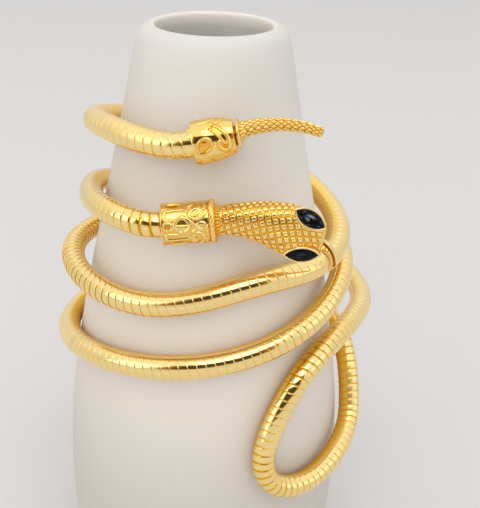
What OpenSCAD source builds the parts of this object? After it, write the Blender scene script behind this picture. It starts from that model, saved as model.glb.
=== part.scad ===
// Snake wrap bracelet on its display stand. Millimetres, +Z up, origin at the centre of the stand's base.
// One long banded snake chain is wound round the stand. A cast head closes one end and a cast tail the other.

/* [Chain] */
// Outer diameter of the banded chain
chain_d = 7.2; // [6.9:0.1:7.5]
// Length of one band along the chain
band_pitch = 3.7; // [3.6:0.1:8]
// Height of the step from one band to the next
band_step = 0.35; // [0.1:0.05:0.6]
// Length of chain held inside each cap
chain_insert = 5; // [3:0.5:6]

/* [Stand] */
// Thickness of the ceramic wall
wall = 5.5; // [4:0.5:6]
// Thickness of the floor
floor_t = 6; // [4:0.5:7]

/* [Head cap] */
// Length of the cap between chain and head
cap_len = 14; // [13:0.2:16]
// Outer diameter of the cap's barrel
cap_d = 11.2; // [10.8:0.2:11.6]
// Height of the cast scrolls over the barrel
relief = 0.4; // [0.2:0.1:0.6]
// Number of twists in the rope ring
rope_twists = 20; // [10:1:24]

/* [Head] */
// Size of the whole head against its table of sections
head_size = 1; // [0.95:0.01:1.05]
// Height of the square studs on the head
stud_h = 0.45; // [0.2:0.05:0.7]
// Length and width of each eye stone
eye_len = 8.5; // [7:0.5:8.5]
eye_wid = 4; // [3.5:0.5:4.5]

/* [Tail] */
// Length of the tail's cap
tail_cap_len = 10.6; // [10:0.2:12]
// Length of the scaled tail along its curve
tail_len = 21.4; // [16:0.2:24]
// Angle that the tail bends through
tail_bend = 43; // [20:1:60]
// Diameter of the tail at its root
tail_root_d = 3.8; // [3.4:0.1:4.6]
// Diameter of the tail near its tip
tail_tip_d = 2.2; // [2:0.1:3]

/* [Hidden] */
$fn = 72;
clear = 0.1;

// Outside of the stand, a row for each height: height, radius
STAND = [
    [0, 43], [2.5, 46.3], [8, 48.2], [20, 49.5], [40, 49.8], [60, 49.2], [76, 47.6], [90, 45.6],
    [112, 41.7], [127, 38.6], [141, 35.2], [157, 31.7], [169, 28.9], [181, 26.3], [192, 24],
    [201.5, 21.9], [204, 20.4], [205, 18]
];
// Inside of the rim, from the lip down: height, radius
RIM_INSIDE = [[204.8, 16.9], [203.6, 16.4], [199, 16.9]];
stand_rows = len(STAND) - 4;

// Course of the chain from the tail's cap to the head's cap: angle, stand-off, height.
// The angle runs from the front towards the left. The stand-off is the gap between chain and stand.
ROUTE = [
    [7, 3.3, 181.2], [15, 3.4, 180], [28, 3, 179.8], [45, 2.8, 180.2], [65, 3.2, 179.6], [90, 4.2, 176.8],
    [135, 2, 169.6], [180, 1, 160], [225, 1.9, 150], [270, 3.4, 143.5], [308, 3.2, 142.2], [337, 1.7, 144.1],
    [360, 0.7, 138.8], [383, 0.7, 134.4], [410, 2.3, 134.2], [450, 3.8, 134], [495, 1.2, 129], [540, 0.6, 127.5],
    [585, 1.7, 131], [630, 4, 135.5], [675, 0.7, 125.4], [720, 0.6, 118.7], [765, 0.5, 113.6],
    [810, 0.4, 103.5], [855, 0.6, 98.5], [900, 0.6, 97], [940, 0.6, 99], [968, 1, 98], [988, 1.5, 92],
    [999, 1.5, 82], [1005, 1.5, 73.8], [1025, 1, 71.9], [1038, 0.6, 69.4], [1055, 0.6, 73.2], [1060, 0.6, 84],
    [1056.5, 0.6, 94.6], [1049, 0.6, 104.6], [1039.3, 0.8, 112.6], [1018, 1.3, 115.9], [992, 6, 113],
    [964, 15.4, 107.2], [930, 17.5, 112.5], [900, 12, 124], [870, 6.5, 138], [840, 2.2, 149.5], [810, 0.7, 154.5],
    [790, 1.5, 156.5], [768.4, 4.5, 159.3], [753, 6.3, 160.3], [743.6, 6.7, 160], [737.6, 5.5, 160.5]
];
route_end = len(ROUTE) - 1;

// Body of the head, a row for each section: distance from the neck, half width, height of the back,
// depth of the belly, sideways shift of the middle line
HEAD = [
    [-1.6, 3.5, 3.3, 3.1, -0.2], [0, 3.6, 3.4, 3.2, 0.2], [2.2, 3.85, 3.6, 3.2, 0.8], [6.5, 4.15, 4.1, 3.1, 2.15],
    [12, 5.2, 4.5, 3, 2.65], [16, 6.05, 4.6, 2.9, 2.4], [19.5, 6.8, 4.4, 2.8, 1.9], [22.5, 7, 3.9, 2.7, 1.5],
    [25, 6.5, 3.3, 2.4, 1.4], [27, 5.5, 2.6, 2, 1.3], [28.2, 4.3, 2, 1.6, 1.3], [28.8, 2.8, 1.3, 1.1, 1.3]
];
head_from = HEAD[0][0];
head_to = HEAD[len(HEAD) - 1][0];
head_cells = 16;
head_sides = 20;
// How the head lies: tilt of its back, dip towards the nose, turn
head_turn = [76, 11.5, -2];

// Each eye: place along the head, offset from the head's middle, turn towards the nose, outward tilt
EYES = [[23.4, 4.9, -18, -16], [23.7, -4.7, 12, 25]];
eye_middle = 1.6;
eye_lift = 3;
eye_table = 0.9;
eye_girdle = 0.5;
bezel_w = 0.6;
bezel_h = 0.4;
pocket_depth = 1;
bezel_root = 1.8;
eye_steps = 7;

// Hook under the nose: points along it in the head's own frame
HOOK = [
    [26.6, 0.7, 0], [28.9, -0.1, 0.5], [30.3, -0.8, 0.3], [31.6, -1.8, -0.5], [32.8, -3.2, -1.7], [33.8, -4.9, -3.4],
    [34.4, -6.3, -5], [34.6, -7.3, -6.4]
];
hook_r = 0.9;
hook_root_r = 1.3;
hook_flat = 0.65;
hook_lean = 40;

// Scrolls on the head's cap, each an arc: angle round the cap, place along it, radius, first angle, sweep
SCROLLS = [
    [0, 4, 1, 0, 360], [0, 8.2, 1.9, 20, 140], [0, 8.2, 1.9, 200, 140], [0, 8.2, 0.8, 0, 360],
    [52, 5.2, 1.5, 90, 250], [52, 9.4, 1.5, 270, 250], [-52, 5.2, 1.5, 20, 250], [-52, 9.4, 1.5, 200, 250]
];
// Plain bands raised round the head's cap: place along it, length, height over the barrel
CAP_BANDS = [[0, 0.5, 0.2], [cap_len - 1.9, 0.5, 0.2]];
neck_plug_d = 6;
neck_plug_len = 4.6;
// Direction round the head's cap that faces the viewer
face_turn = 244;
rope_ring_r = 5.2;
rope_place = 0.65;
rope_wire = 0.6;
twist_wire = 0.42;
twist_len = 1.5;
twist_lean = 35;
twist_sink = 0.2;
scroll_sink = 0.05;
socket_spare = 0.3;

// Outline of the tail's cap: radius, distance from the chain
tail_cap_end_r = 4.2;
TAIL_CAP = [
    [5.8, 0], [5.9, 0.5], [5.75, 1], [5.8, 3.4], [5.6, 5.6], [5.2, 7.8], [4.6, 9.6], [tail_cap_end_r, tail_cap_len]
];
// Row of raised ribs along the lower side of the tail's cap: radius and distance from the chain
tail_ribs = 5;
tail_rib_pitch = 35;
tail_rib_at = [5.35, 2];
tail_rib_len = 4.5;
tail_rib_r = 0.65;
tail_rib_lean = 4;
// Round groove cut in the side that faces the viewer
engraving_turn = 252;
engraving_at = [5.75, 4];
engraving_r = 1.6;
engraving_w = 0.28;
tail_plug_d = 3;
tail_plug_len = 2.6;
tail_disc_len = 0.7;
tail_flange_len = 1.8;
tail_cells = 13;
tail_sides = 8;
tail_stud = 0.22;
tail_rise = 21;
// How far above its cap's middle line the tail leaves it
tail_lift = 1.1;

sides = 10;
chain_r = chain_d / 2;
band_end_r = chain_r - band_step;

// Smooth blend of four table rows
function blend(a, b, c, d, f) =
    (pow(1 - f, 3) * a + (3 * pow(f, 3) - 6 * f * f + 4) * b
        + (3 * f + 3 * f * f - 3 * pow(f, 3) + 1) * c + pow(f, 3) * d) / 6;
function route_row(i) =
    i < 0 ? 2 * ROUTE[0] - ROUTE[1] :
    i > route_end ? 2 * ROUTE[route_end] - ROUTE[route_end - 1] : ROUTE[i];
function route_at(t) =
    let (i = min(floor(t), route_end - 1))
    blend(route_row(i - 1), route_row(i), route_row(i + 1), route_row(i + 2), t - i);
function on_stand(p) =
    let (r = lookup(p[2], STAND) + chain_r + p[1])
    [-r * sin(p[0]), -r * cos(p[0]), p[2]];
function unit(v) = v / norm(v);

// The course measured in millimetres: length so far, place in the table
steps_per_row = 8;
course = [for (i = [0:route_end * steps_per_row]) on_stand(route_at(i / steps_per_row))];
measured = [
    for (i = 0, s = 0; i < len(course); s = s + norm(course[min(i + 1, len(course) - 1)] - course[i]), i = i + 1)
        [s, i / steps_per_row]
];
chain_len = measured[len(measured) - 1][0];
tail_dir = unit(on_stand(route_at(0)) - on_stand(route_at(0.1)));
head_dir = unit(on_stand(route_at(route_end)) - on_stand(route_at(route_end - 0.1)));
tail_at = on_stand(route_at(0));
head_at = on_stand(route_at(route_end));

// Centre of the chain at a length along it. It runs on straight inside both caps.
function spine(s) =
    s < 0 ? tail_at - tail_dir * s :
    s > chain_len ? head_at + head_dir * (s - chain_len) : on_stand(route_at(lookup(s, measured)));
function heading(s) = unit(spine(s + 0.5) - spine(s - 0.5));

// Ring of points round the chain, the first one facing away from the stand
function ring(s, r) =
    let (
        c = spine(s),
        along = heading(s),
        away = unit([c[0], c[1], 0]),
        out = unit(away - along * (away * along)),
        side = cross(along, out)
    )
    [for (k = [0:sides - 1]) c + r * (cos(360 * k / sides) * out + sin(360 * k / sides) * side)];

// Faces of a tube made of rings of n points, closed at both ends
function tube_faces(rings, n) = concat(
    [[for (k = [0:n - 1]) k]],
    [for (i = [0:rings - 2], k = [0:n - 1]) let (m = (k + 1) % n) [i * n + k, i * n + n + k, i * n + n + m, i * n + m]],
    [[for (k = [n - 1:-1:0]) (rings - 1) * n + k]]
);

full_len = chain_len + 2 * chain_insert;
bands = round(full_len / band_pitch);
band_len = full_len / bands;
half_way = floor(bands / 2);

// A run of bands, each a ring at full width and a ring at the foot of its step
module chain_run(first, last, gap) {
    rings = [
        for (b = [first:last - 1])
            let (s = b * band_len - chain_insert)
            each [ring(s + (b == first ? gap : 0), chain_r), ring(s + band_len, band_end_r)]
    ];
    points = [for (r = rings) each r];
    polyhedron(points, tube_faces(len(rings), sides), convexity = 12);
}

// Turns a shape that stands on +Z so that it lies along a direction
module lay_along(at, dir) {
    translate(at) rotate([0, acos(dir[2]), atan2(dir[1], dir[0])]) children();
}

module stand() {
    outside = [for (p = STAND) [p[1], p[0]]];
    rim = [for (p = RIM_INSIDE) [p[1], p[0]]];
    inside = [for (i = [stand_rows - 1:-1:2]) [STAND[i][1] - wall, STAND[i][0]]];
    color("Linen")
        rotate_extrude()
            polygon(concat([[0, 0]], outside, rim, inside, [[STAND[2][1] - wall - 3, floor_t], [0, floor_t]]));
}

module chain_upper() {
    color("Khaki") chain_run(0, half_way, 0);
}

module chain_lower() {
    color("Khaki") chain_run(half_way, bands, clear);
}

// One cast scroll: an arc of round wire half sunk in the barrel
module scroll(turn, along, r, from, sweep) {
    rotate([0, 0, turn])
        translate([cap_d / 2 - scroll_sink, 0, along])
            rotate([0, 90, 0])
                rotate([0, 0, from])
                    rotate_extrude(angle = sweep, $fn = 24)
                        translate([r, 0]) circle(relief, $fn = 14);
}

// Rope ring of short wires laid aslant round a core
module rope_ring() {
    rotate_extrude() translate([rope_ring_r, 0]) circle(rope_wire, $fn = 18);
    for (i = [0:rope_twists - 1])
        rotate([0, 0, 360 * i / rope_twists])
            translate([rope_ring_r + rope_wire - twist_sink, 0, 0])
                rotate([twist_lean, 0, 0])
                    cylinder(h = twist_len, r = twist_wire, center = true, $fn = 14);
}

// Round socket that takes the end of the chain
module chain_socket() {
    translate([0, 0, -1]) cylinder(h = chain_insert + 1 + socket_spare, r = chain_r + clear);
}

module head_cap() {
    barrel_r = cap_d / 2;
    color("Goldenrod")
        lay_along(head_at, head_dir)
            difference() {
                union() {
                    cylinder(h = cap_len, r = barrel_r);
                    for (b = CAP_BANDS) translate([0, 0, b[0]]) cylinder(h = b[1], r = barrel_r + b[2]);
                    translate([0, 0, cap_len - rope_place]) rope_ring();
                    for (s = SCROLLS) scroll(face_turn + s[0], s[1], s[2], s[3], s[4]);
                }
                chain_socket();
                translate([0, 0, cap_len - neck_plug_len - clear])
                    cylinder(h = neck_plug_len + 1, r = neck_plug_d / 2 + clear);
            }
}

// Column of the head's table at a distance from the neck
function head_col(x, c) = lookup(x, [for (row = HEAD) [row[0], row[c]]]);

// Point on the head: u along it from 0 to 1, v round it in turns, raised by lift
function head_point(u, v, lift) =
    let (
        x = head_from + u * (head_to - head_from),
        a = 360 * v,
        up = sin(a) > 0 ? head_col(x, 2) : head_col(x, 3),
        flat = sign(sin(a)) * pow(abs(sin(a)), 0.8)
    )
    [x, head_col(x, 4) + (head_col(x, 1) + lift) * cos(a), (up + lift) * flat];

// Closed skin on rings of n corners, m cells long, with a raised point in the middle of every cell
module studded_skin(corners, peaks, m, n) {
    cells = [
        for (i = [0:m - 1], k = [0:n - 1])
            let (
                a = i * n + k,
                b = i * n + (k + 1) % n,
                c = a + n,
                d = b + n,
                top = len(corners) + i * n + k
            )
            each [[top, b, a], [top, d, b], [top, c, d], [top, a, c]]
    ];
    ends = [[for (k = [0:n - 1]) k], [for (k = [n - 1:-1:0]) m * n + k]];
    polyhedron(concat(corners, peaks), concat(cells, ends), convexity = 6);
}

module head_body() {
    n = head_sides;
    m = head_cells;
    studded_skin(
        [for (i = [0:m], k = [0:n - 1]) head_point(i / m, k / n, 0)],
        [for (i = [0:m - 1], k = [0:n - 1]) head_point((i + 0.5) / m, (k + 0.5) / n, stud_h)],
        m, n
    );
}

// Pointed oval with its long axis on X: two arcs of one circle
function marquise(length, width) =
    let (
        r = (length * length + width * width) / (4 * width),
        half = asin(length / 2 / r)
    )
    concat(
        [for (i = [0:eye_steps - 1]) let (a = half - 2 * half * i / eye_steps) [r * sin(a), r * cos(a) - r + width / 2]],
        [for (i = [0:eye_steps - 1]) let (a = -half + 2 * half * i / eye_steps) [r * sin(a), r - width / 2 - r * cos(a)]]
    );

// Seat of an eye: its plane touches the head's back, Z out of the head
module at_eye(e) {
    translate([e[0], eye_middle + e[1], eye_lift]) rotate([e[3], 0, e[2]]) children();
}

module place_head() {
    translate(head_at + head_dir * cap_len) rotate(head_turn) scale(head_size) children();
}

// Flattened bead that the hook's strip is drawn through
module hook_bead(r) {
    rotate([hook_lean, 0, 0]) scale([1, 1.1, hook_flat]) sphere(r, $fn = 12);
}

// Curved strip under the nose, hooked over the strand below it
module hook() {
    for (i = [0:len(HOOK) - 2])
        hull() {
            translate(HOOK[i]) hook_bead(i == 0 ? hook_root_r : hook_r);
            translate(HOOK[i + 1]) hook_bead(hook_r);
        }
}

module snake_head() {
    color("Goldenrod") {
        difference() {
            place_head() {
                head_body();
                for (e = EYES)
                    at_eye(e) translate([0, 0, -bezel_root])
                        linear_extrude(bezel_root + bezel_h)
                            polygon(marquise(eye_len + 2.6 * bezel_w, eye_wid + 2 * bezel_w));
                hook();
            }
            place_head()
                for (e = EYES)
                    at_eye(e) translate([0, 0, -pocket_depth])
                        linear_extrude(4) polygon(marquise(eye_len + 4 * clear, eye_wid + 2 * clear));
            lay_along(head_at, head_dir) cylinder(h = cap_len + clear, r = cap_d);
        }
        lay_along(head_at + head_dir * (cap_len - neck_plug_len), head_dir)
            cylinder(h = neck_plug_len + 0.6, r = neck_plug_d / 2, $fn = 28);
    }
}

// Faceted stone: pavilion, girdle, crown and a flat table
module eye_stone(e) {
    n = 2 * eye_steps;
    outline = marquise(eye_len, eye_wid);
    levels = [[0.55, clear - pocket_depth], [1, -0.1], [1, eye_girdle - 0.1], [0.62, eye_table]];
    points = [for (l = levels, p = outline) [p[0] * l[0], p[1] * l[0], l[1]]];
    color([0.03, 0.03, 0.04])
        place_head() at_eye(e) polyhedron(points, tube_faces(len(levels), n));
}

module eye_stone_upper() {
    eye_stone(EYES[0]);
}

module eye_stone_lower() {
    eye_stone(EYES[1]);
}

module tail_cap() {
    color("Goldenrod")
        lay_along(tail_at, tail_dir)
            difference() {
                union() {
                    rotate_extrude() polygon(concat([[0, 0]], TAIL_CAP, [[0, tail_cap_len]]));
                    for (i = [0:tail_ribs - 1])
                        rotate([0, 0, tail_rib_pitch * (i - (tail_ribs - 1) / 2)])
                            translate([tail_rib_at[0], 0, tail_rib_at[1]])
                                rotate([0, tail_rib_lean, 0]) cylinder(h = tail_rib_len, r = tail_rib_r, $fn = 16);
                }
                chain_socket();
                translate([0, 0, tail_cap_len - tail_plug_len - clear])
                    cylinder(h = tail_plug_len + 1, r = tail_plug_d / 2 + clear);
                rotate([0, 0, engraving_turn]) translate([engraving_at[0], 0, engraving_at[1]])
                    rotate([0, 90 - tail_rib_lean, 0])
                        rotate_extrude($fn = 28) translate([engraving_r, 0]) circle(engraving_w, $fn = 14);
            }
}

tail_from = tail_at + tail_dir * (tail_cap_len + clear);
flange_to = tail_from + tail_dir * tail_flange_len;

// Slope and place along the tail's arc, t from 0 at its root to 1 at its tip
function tail_angle(t) = tail_rise - tail_bend * t;
function tail_point(t) =
    let (r = tail_len / tail_bend * 180 / PI)
    flange_to - tail_dir * tail_disc_len + [0, 0, tail_lift]
        + [r * (sin(tail_rise) - sin(tail_angle(t))), 0, r * (cos(tail_angle(t)) - cos(tail_rise))];
function tail_ring_point(t, v, lift) =
    let (r = tail_root_d / 2 + (tail_tip_d - tail_root_d) / 2 * t + lift)
    tail_point(t) + r * (cos(360 * v) * [-sin(tail_angle(t)), 0, cos(tail_angle(t))] + sin(360 * v) * [0, -1, 0]);

// Scaled taper: every ring of corners is turned half a cell past the one before
module tail_taper() {
    n = tail_sides;
    m = tail_cells;
    studded_skin(
        [for (i = [0:m], k = [0:n - 1]) tail_ring_point(i / m, (k + i / 2) / n, 0)],
        [for (i = [0:m - 1], k = [0:n - 1]) tail_ring_point((i + 0.5) / m, (k + i / 2 + 0.75) / n, tail_stud)],
        m, n
    );
}

module tail() {
    color("Goldenrod") {
        lay_along(tail_from, tail_dir) {
            translate([0, 0, -tail_plug_len]) cylinder(h = tail_plug_len + 0.4, r = tail_plug_d / 2);
            cylinder(h = tail_disc_len, r = tail_cap_end_r);
            translate([-tail_lift, 0, tail_disc_len - clear])
                cylinder(h = tail_flange_len - tail_disc_len, r1 = tail_cap_end_r - tail_lift - 0.2, r2 = tail_root_d / 2);
        }
        tail_taper();
        translate(tail_point(1)) sphere(tail_tip_d / 2 * 0.98, $fn = 16);
    }
}

stand();
chain_upper();
chain_lower();
head_cap();
snake_head();
eye_stone_upper();
eye_stone_lower();
tail_cap();
tail();
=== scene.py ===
"""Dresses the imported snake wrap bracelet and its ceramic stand, and sets the studio round them.

Sizes of the pieces are millimetres until a mesh is made. The finishes and the studio are in metres.
"""

import logging
import math
from dataclasses import dataclass
from enum import Enum
from functools import cache
from typing import Sequence

import bpy
import numpy as np
from mathutils import Matrix, Vector


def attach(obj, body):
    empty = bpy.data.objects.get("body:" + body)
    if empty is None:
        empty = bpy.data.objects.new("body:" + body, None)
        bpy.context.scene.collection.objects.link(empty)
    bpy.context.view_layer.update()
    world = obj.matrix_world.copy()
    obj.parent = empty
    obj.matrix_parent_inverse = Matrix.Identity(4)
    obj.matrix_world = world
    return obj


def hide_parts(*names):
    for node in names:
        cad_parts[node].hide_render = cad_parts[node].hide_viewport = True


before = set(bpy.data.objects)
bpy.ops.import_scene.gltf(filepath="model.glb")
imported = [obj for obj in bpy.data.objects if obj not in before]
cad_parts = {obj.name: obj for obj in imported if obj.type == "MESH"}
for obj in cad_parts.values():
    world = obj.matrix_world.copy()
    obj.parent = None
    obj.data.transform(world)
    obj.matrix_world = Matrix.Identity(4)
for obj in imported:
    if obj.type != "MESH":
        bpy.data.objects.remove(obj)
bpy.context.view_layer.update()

LOG = logging.getLogger("bracelet")
MM = 0.001
Array = np.ndarray
Row = tuple[float, ...]
Table = Sequence[Row]
Pair = tuple[float, float]
Place = tuple[float, float, float]
Colour = tuple[float, float, float]
Material = bpy.types.Material
Node = bpy.types.Node
Socket = bpy.types.NodeSocket


class Slot(Enum):
    """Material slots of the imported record."""

    CERAMIC = "ceramic"
    CHAIN = "chain_gold"
    CAST = "cast_gold"
    STONE = "black_stone"


class Shading(Enum):
    """How the faces of a piece meet: flat, smooth up to an angle in degrees, or smooth all over."""

    FACETED = 0.0
    SMOOTH = 75.0
    ROUND = 180.0


# Shapes worked out as whole arrays


def unit(v: Array) -> Array:
    """Every vector of an array divided by its own length."""
    return v / np.linalg.norm(v, axis=-1, keepdims=True)


def smooth_rows(rows: Array, t: Array) -> Array:
    """Uniform cubic B-spline over the rows of a table, which meets both end rows exactly.

    With a fraction f between rows b and c, and a and d outside them, the value is
    ((1-f)^3 a + (3f^3 - 6f^2 + 4) b + (3f + 3f^2 - 3f^3 + 1) c + f^3 d) / 6. A mirrored row stands past each end.

    Args:
        rows: Table with one row for each control value.
        t: Places in the table, from 0 at the first row to n - 1 at the last.

    Returns:
        One blended row for each place.
    """
    v = np.vstack([2 * rows[0] - rows[1], rows, 2 * rows[-1] - rows[-2], 2 * rows[-1] - rows[-2]])
    t = np.clip(t, 0, len(rows) - 1)
    i = np.minimum(t.astype(int), len(rows) - 2)
    f = (t - i)[:, None]
    a, b, c, d = v[i], v[i + 1], v[i + 2], v[i + 3]
    return ((1 - f) ** 3 * a + (3 * f**3 - 6 * f**2 + 4) * b + (3 * f + 3 * f**2 - 3 * f**3 + 1) * c + f**3 * d) / 6


def spline(rows: Table, count: int) -> Array:
    """A table drawn as a smooth line of so many evenly spread places."""
    table = np.array(rows, float)
    return smooth_rows(table, np.linspace(0, len(table) - 1, count))


def loop_spline(rows: Table, count: int) -> Array:
    """A table drawn as a smooth closed line: the first rows come again after the last, and one lap is kept."""
    table = np.array(rows, float)
    n = len(table)
    return smooth_rows(np.vstack([table[-2:], table, table[:3]]), np.linspace(2, n + 2, count))


def full_turn(count: int) -> Array:
    """So many angles spread over a full turn, in radians."""
    return np.radians(np.arange(count) * 360 / count)


def polar(r: Array, w: Array, z: Array | float) -> Array:
    """Points at radius r, angle w and height z."""
    return np.stack(np.broadcast_arrays(r * np.cos(w), r * np.sin(w), z), -1)


def reach_along(points: Array) -> Array:
    """Length of a line, or of each of several, up to each of its points."""
    steps = np.linalg.norm(np.diff(points, axis=-2), axis=-1)
    return np.concatenate([np.zeros((*steps.shape[:-1], 1)), np.cumsum(steps, axis=-1)], -1)


def rows_at(s: Array, places: Array, rows: Array) -> Array:
    """Rows between those of a table, at values s, where places has the value of each row."""
    return np.stack([np.interp(s, places, column) for column in rows.T], 1)


def ease(low: float, high: float, x: Array) -> Array:
    """Smooth step from 0 at low to 1 at high: 3q^2 - 2q^3 of the clipped fraction q."""
    q = np.clip((x - low) / (high - low), 0, 1)
    return q * q * (3 - 2 * q)


def weave(rows: int, columns: int, closed: bool = True) -> Array:
    """Four-cornered faces between neighbours of a grid of corners.

    Args:
        rows: Number of rows of corners.
        columns: Number of corners in a row.
        closed: Whether the last corner of a row joins the first.

    Returns:
        Corner numbers, four for each face.
    """
    i = np.arange(rows - 1)[:, None]
    j = np.arange(columns if closed else columns - 1)[None, :]
    a = i * columns + j
    b = i * columns + (j + 1) % columns
    return np.stack([a, b, b + columns, a + columns], axis=-1).reshape(-1, 4)


@dataclass
class Seat:
    """A place and a turn: the columns of turn are the seat's own X, Y and Z."""

    at: Array
    turn: Array

    @staticmethod
    def about(axis: str, degrees: float) -> Array:
        """Turning matrix about one named axis."""
        c, s = math.cos(math.radians(degrees)), math.sin(math.radians(degrees))
        turns = {
            "x": [[1, 0, 0], [0, c, -s], [0, s, c]],
            "y": [[c, 0, s], [0, 1, 0], [-s, 0, c]],
            "z": [[c, -s, 0], [s, c, 0], [0, 0, 1]],
        }
        return np.array(turns[axis])

    @classmethod
    def along(cls, at: Array, way: Array) -> "Seat":
        """Seat whose Z lies along a direction: a tilt about Y by its angle from +Z, then a turn about Z."""
        tilt = math.degrees(math.acos(way[2]))
        turn = math.degrees(math.atan2(way[1], way[0]))
        return cls(at, cls.about("z", turn) @ cls.about("y", tilt))

    def place(self, points: Array) -> Array:
        """Points of the seat's own frame, put in the row frame."""
        return points @ self.turn.T + self.at

    def inner(self, at: Row, turn: Array) -> "Seat":
        """A second seat that is given in this seat's own frame."""
        return Seat(self.place(np.array(at, float)), self.turn @ turn)


def new_mesh(name: str, points: Array, faces: list[list[int]], finish: Material) -> bpy.types.Mesh:
    """A mesh of one finish, its points in metres."""
    mesh = bpy.data.meshes.new(name)
    mesh.from_pydata(points.tolist(), [], faces)
    mesh.materials.append(finish)
    return mesh


def mark_points(mesh: bpy.types.Mesh, name: str, values: Array) -> None:
    """Gives each point of a mesh a value that its finish reads."""
    mesh.attributes.new(name, "FLOAT", "POINT").data.foreach_set("value", values.ravel().astype(np.float32))


def placed(name: str, data: bpy.types.ID) -> bpy.types.Object:
    """A new object in the scene, at its origin."""
    made = bpy.data.objects.new(name, data)
    bpy.context.scene.collection.objects.link(made)
    return made


@dataclass
class Skin:
    """A mesh in millimetres: points, faces of four and of three corners, and how hollow each point lies, a mark that
    the finishes paint as shade, or as light on the stones and the stand's lip.
    """

    points: Array
    quads: Array
    tris: Array
    hollow: Array

    @classmethod
    def tube(cls, rings: Array, hollow: Array | float = 0.0) -> "Skin":
        """Closed skin over rings of corners, with a fan to the middle of the first ring and of the last.

        Args:
            rings: Corners as rings x corners x 3.
            hollow: How hollow each corner lies, or each ring, or all.

        Returns:
            The skin, its faces pointing outwards.
        """
        rows, columns, _ = rings.shape
        points = np.vstack([rings.reshape(-1, 3), rings[0].mean(0), rings[-1].mean(0)])
        j = np.arange(columns)
        k = (j + 1) % columns
        end = (rows - 1) * columns
        first = np.stack([np.full(columns, rows * columns), k, j], 1)
        last = np.stack([np.full(columns, rows * columns + 1), j + end, k + end], 1)
        marks = np.broadcast_to(hollow, (rows, columns))
        marks = np.concatenate([marks.ravel(), [marks[0].mean(), marks[-1].mean()]])
        return cls(points, weave(rows, columns), np.vstack([first, last]), marks).outward()

    @classmethod
    def lathe(cls, outline: Array, sides: int, relief: Array | float, hollow: Array) -> "Skin":
        """Surface of revolution: corner (i, k) is ((r+h) cos w, (r+h) sin w, z) with w = 360 k / sides.

        Args:
            outline: Radius and height of each ring, neither end on the axis.
            sides: Number of corners round.
            relief: Height h of each corner over its ring, or 0.
            hollow: How hollow each corner lies.

        Returns:
            The closed skin.
        """
        return cls.tube(polar(outline[:, :1] + relief, full_turn(sides), outline[:, 1:]), hollow)

    def volume(self) -> float:
        """Signed volume: a sixth of the sum of a . (b x c) over all triangles."""
        t = np.vstack([self.tris, self.quads[:, [0, 1, 2]], self.quads[:, [0, 2, 3]]])
        p = self.points - self.points.mean(0)
        return float(np.einsum("ij,ij->", p[t[:, 0]], np.cross(p[t[:, 1]], p[t[:, 2]])) / 6)

    def outward(self) -> "Skin":
        """The same skin with every face turned over if it was inside out."""
        if self.volume() < 0:
            self.quads, self.tris = self.quads[:, ::-1], self.tris[:, ::-1]
        return self

    def seated(self, seat: Seat) -> "Skin":
        """The same skin put on a seat."""
        return Skin(seat.place(self.points), self.quads, self.tris, self.hollow)

    @staticmethod
    def joined(skins: Sequence["Skin"]) -> "Skin":
        """Several skins as one mesh."""
        starts = np.cumsum([0] + [len(s.points) for s in skins[:-1]])
        return Skin(
            np.vstack([s.points for s in skins]),
            np.vstack([s.quads + n for s, n in zip(skins, starts)]),
            np.vstack([s.tris + n for s, n in zip(skins, starts)]),
            np.concatenate([s.hollow for s in skins]),
        )

    def hand_over(
        self, name: str, finish: Material, slot: Slot, stands_for: Sequence[str], shading: Shading
    ) -> None:
        """Makes the Blender object, lets it ride on the root body and hides the CAD parts that it stands for.

        Args:
            name: Name of the piece.
            finish: Its material.
            slot: Slot of the record that the finish comes from, not used.
            stands_for: CAD nodes that the piece replaces.
            shading: How its faces meet.
        """
        mesh = new_mesh(name, self.points * MM, self.quads.tolist() + self.tris.tolist(), finish)
        mesh.polygons.foreach_set("use_smooth", np.full(len(mesh.polygons), shading is not Shading.FACETED))
        if shading is Shading.SMOOTH:
            mesh.set_sharp_from_angle(angle=math.radians(shading.value))
        # The hollow mark: painted shade, or painted light on the stones and inside the stand's lip.
        mark_points(mesh, "hollow", self.hollow)
        mesh.validate()
        piece = placed(name, mesh)
        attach(piece, "root")
        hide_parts(*stands_for)
        size = np.ptp(self.points, axis=0)
        LOG.info("%s: %d points, %.1f x %.1f x %.1f mm", name, len(self.points), *size)


@dataclass(frozen=True)
class Line:
    """A raised or sunk line of ornament: its points, half its width and its height."""

    points: Array
    half_width: float = 0.42
    height: float = 0.36

    def over(self, along: Array, across: Array) -> Array:
        """Height that the line adds: height times (1 - (d / half width)^2)^0.7, with d the distance to the line.

        Args:
            along: First coordinate of each place.
            across: Second coordinate of each place.

        Returns:
            One height for each place, 0 away from the line.
        """
        low, high = self.points.min(0) - self.half_width, self.points.max(0) + self.half_width
        near = (along > low[0]) & (along < high[0]) & (across > low[1]) & (across < high[1])
        out = np.zeros(along.shape)
        if near.any():
            spots = np.stack([along[near], across[near]], 1)
            d2 = np.min(((spots[:, None, :] - self.points[None, :, :]) ** 2).sum(-1), axis=1)
            out[near] = self.height * np.clip(1 - d2 / self.half_width**2, 0, 1) ** 0.7
        return out


@dataclass(frozen=True)
class Oval:
    """A raised or sunk oval field with soft edges."""

    centre: Pair
    half: Pair
    height: float
    lean: float = 0.0

    def over(self, along: Array, across: Array) -> Array:
        """Height that the oval adds: height times a smooth step of how far inside the oval a place lies."""
        c, s = math.cos(math.radians(self.lean)), math.sin(math.radians(self.lean))
        x, y = along - self.centre[0], across - self.centre[1]
        q = np.hypot((x * c + y * s) / self.half[0], (y * c - x * s) / self.half[1])
        return self.height * (1 - ease(0.62, 1.0, q))


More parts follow.
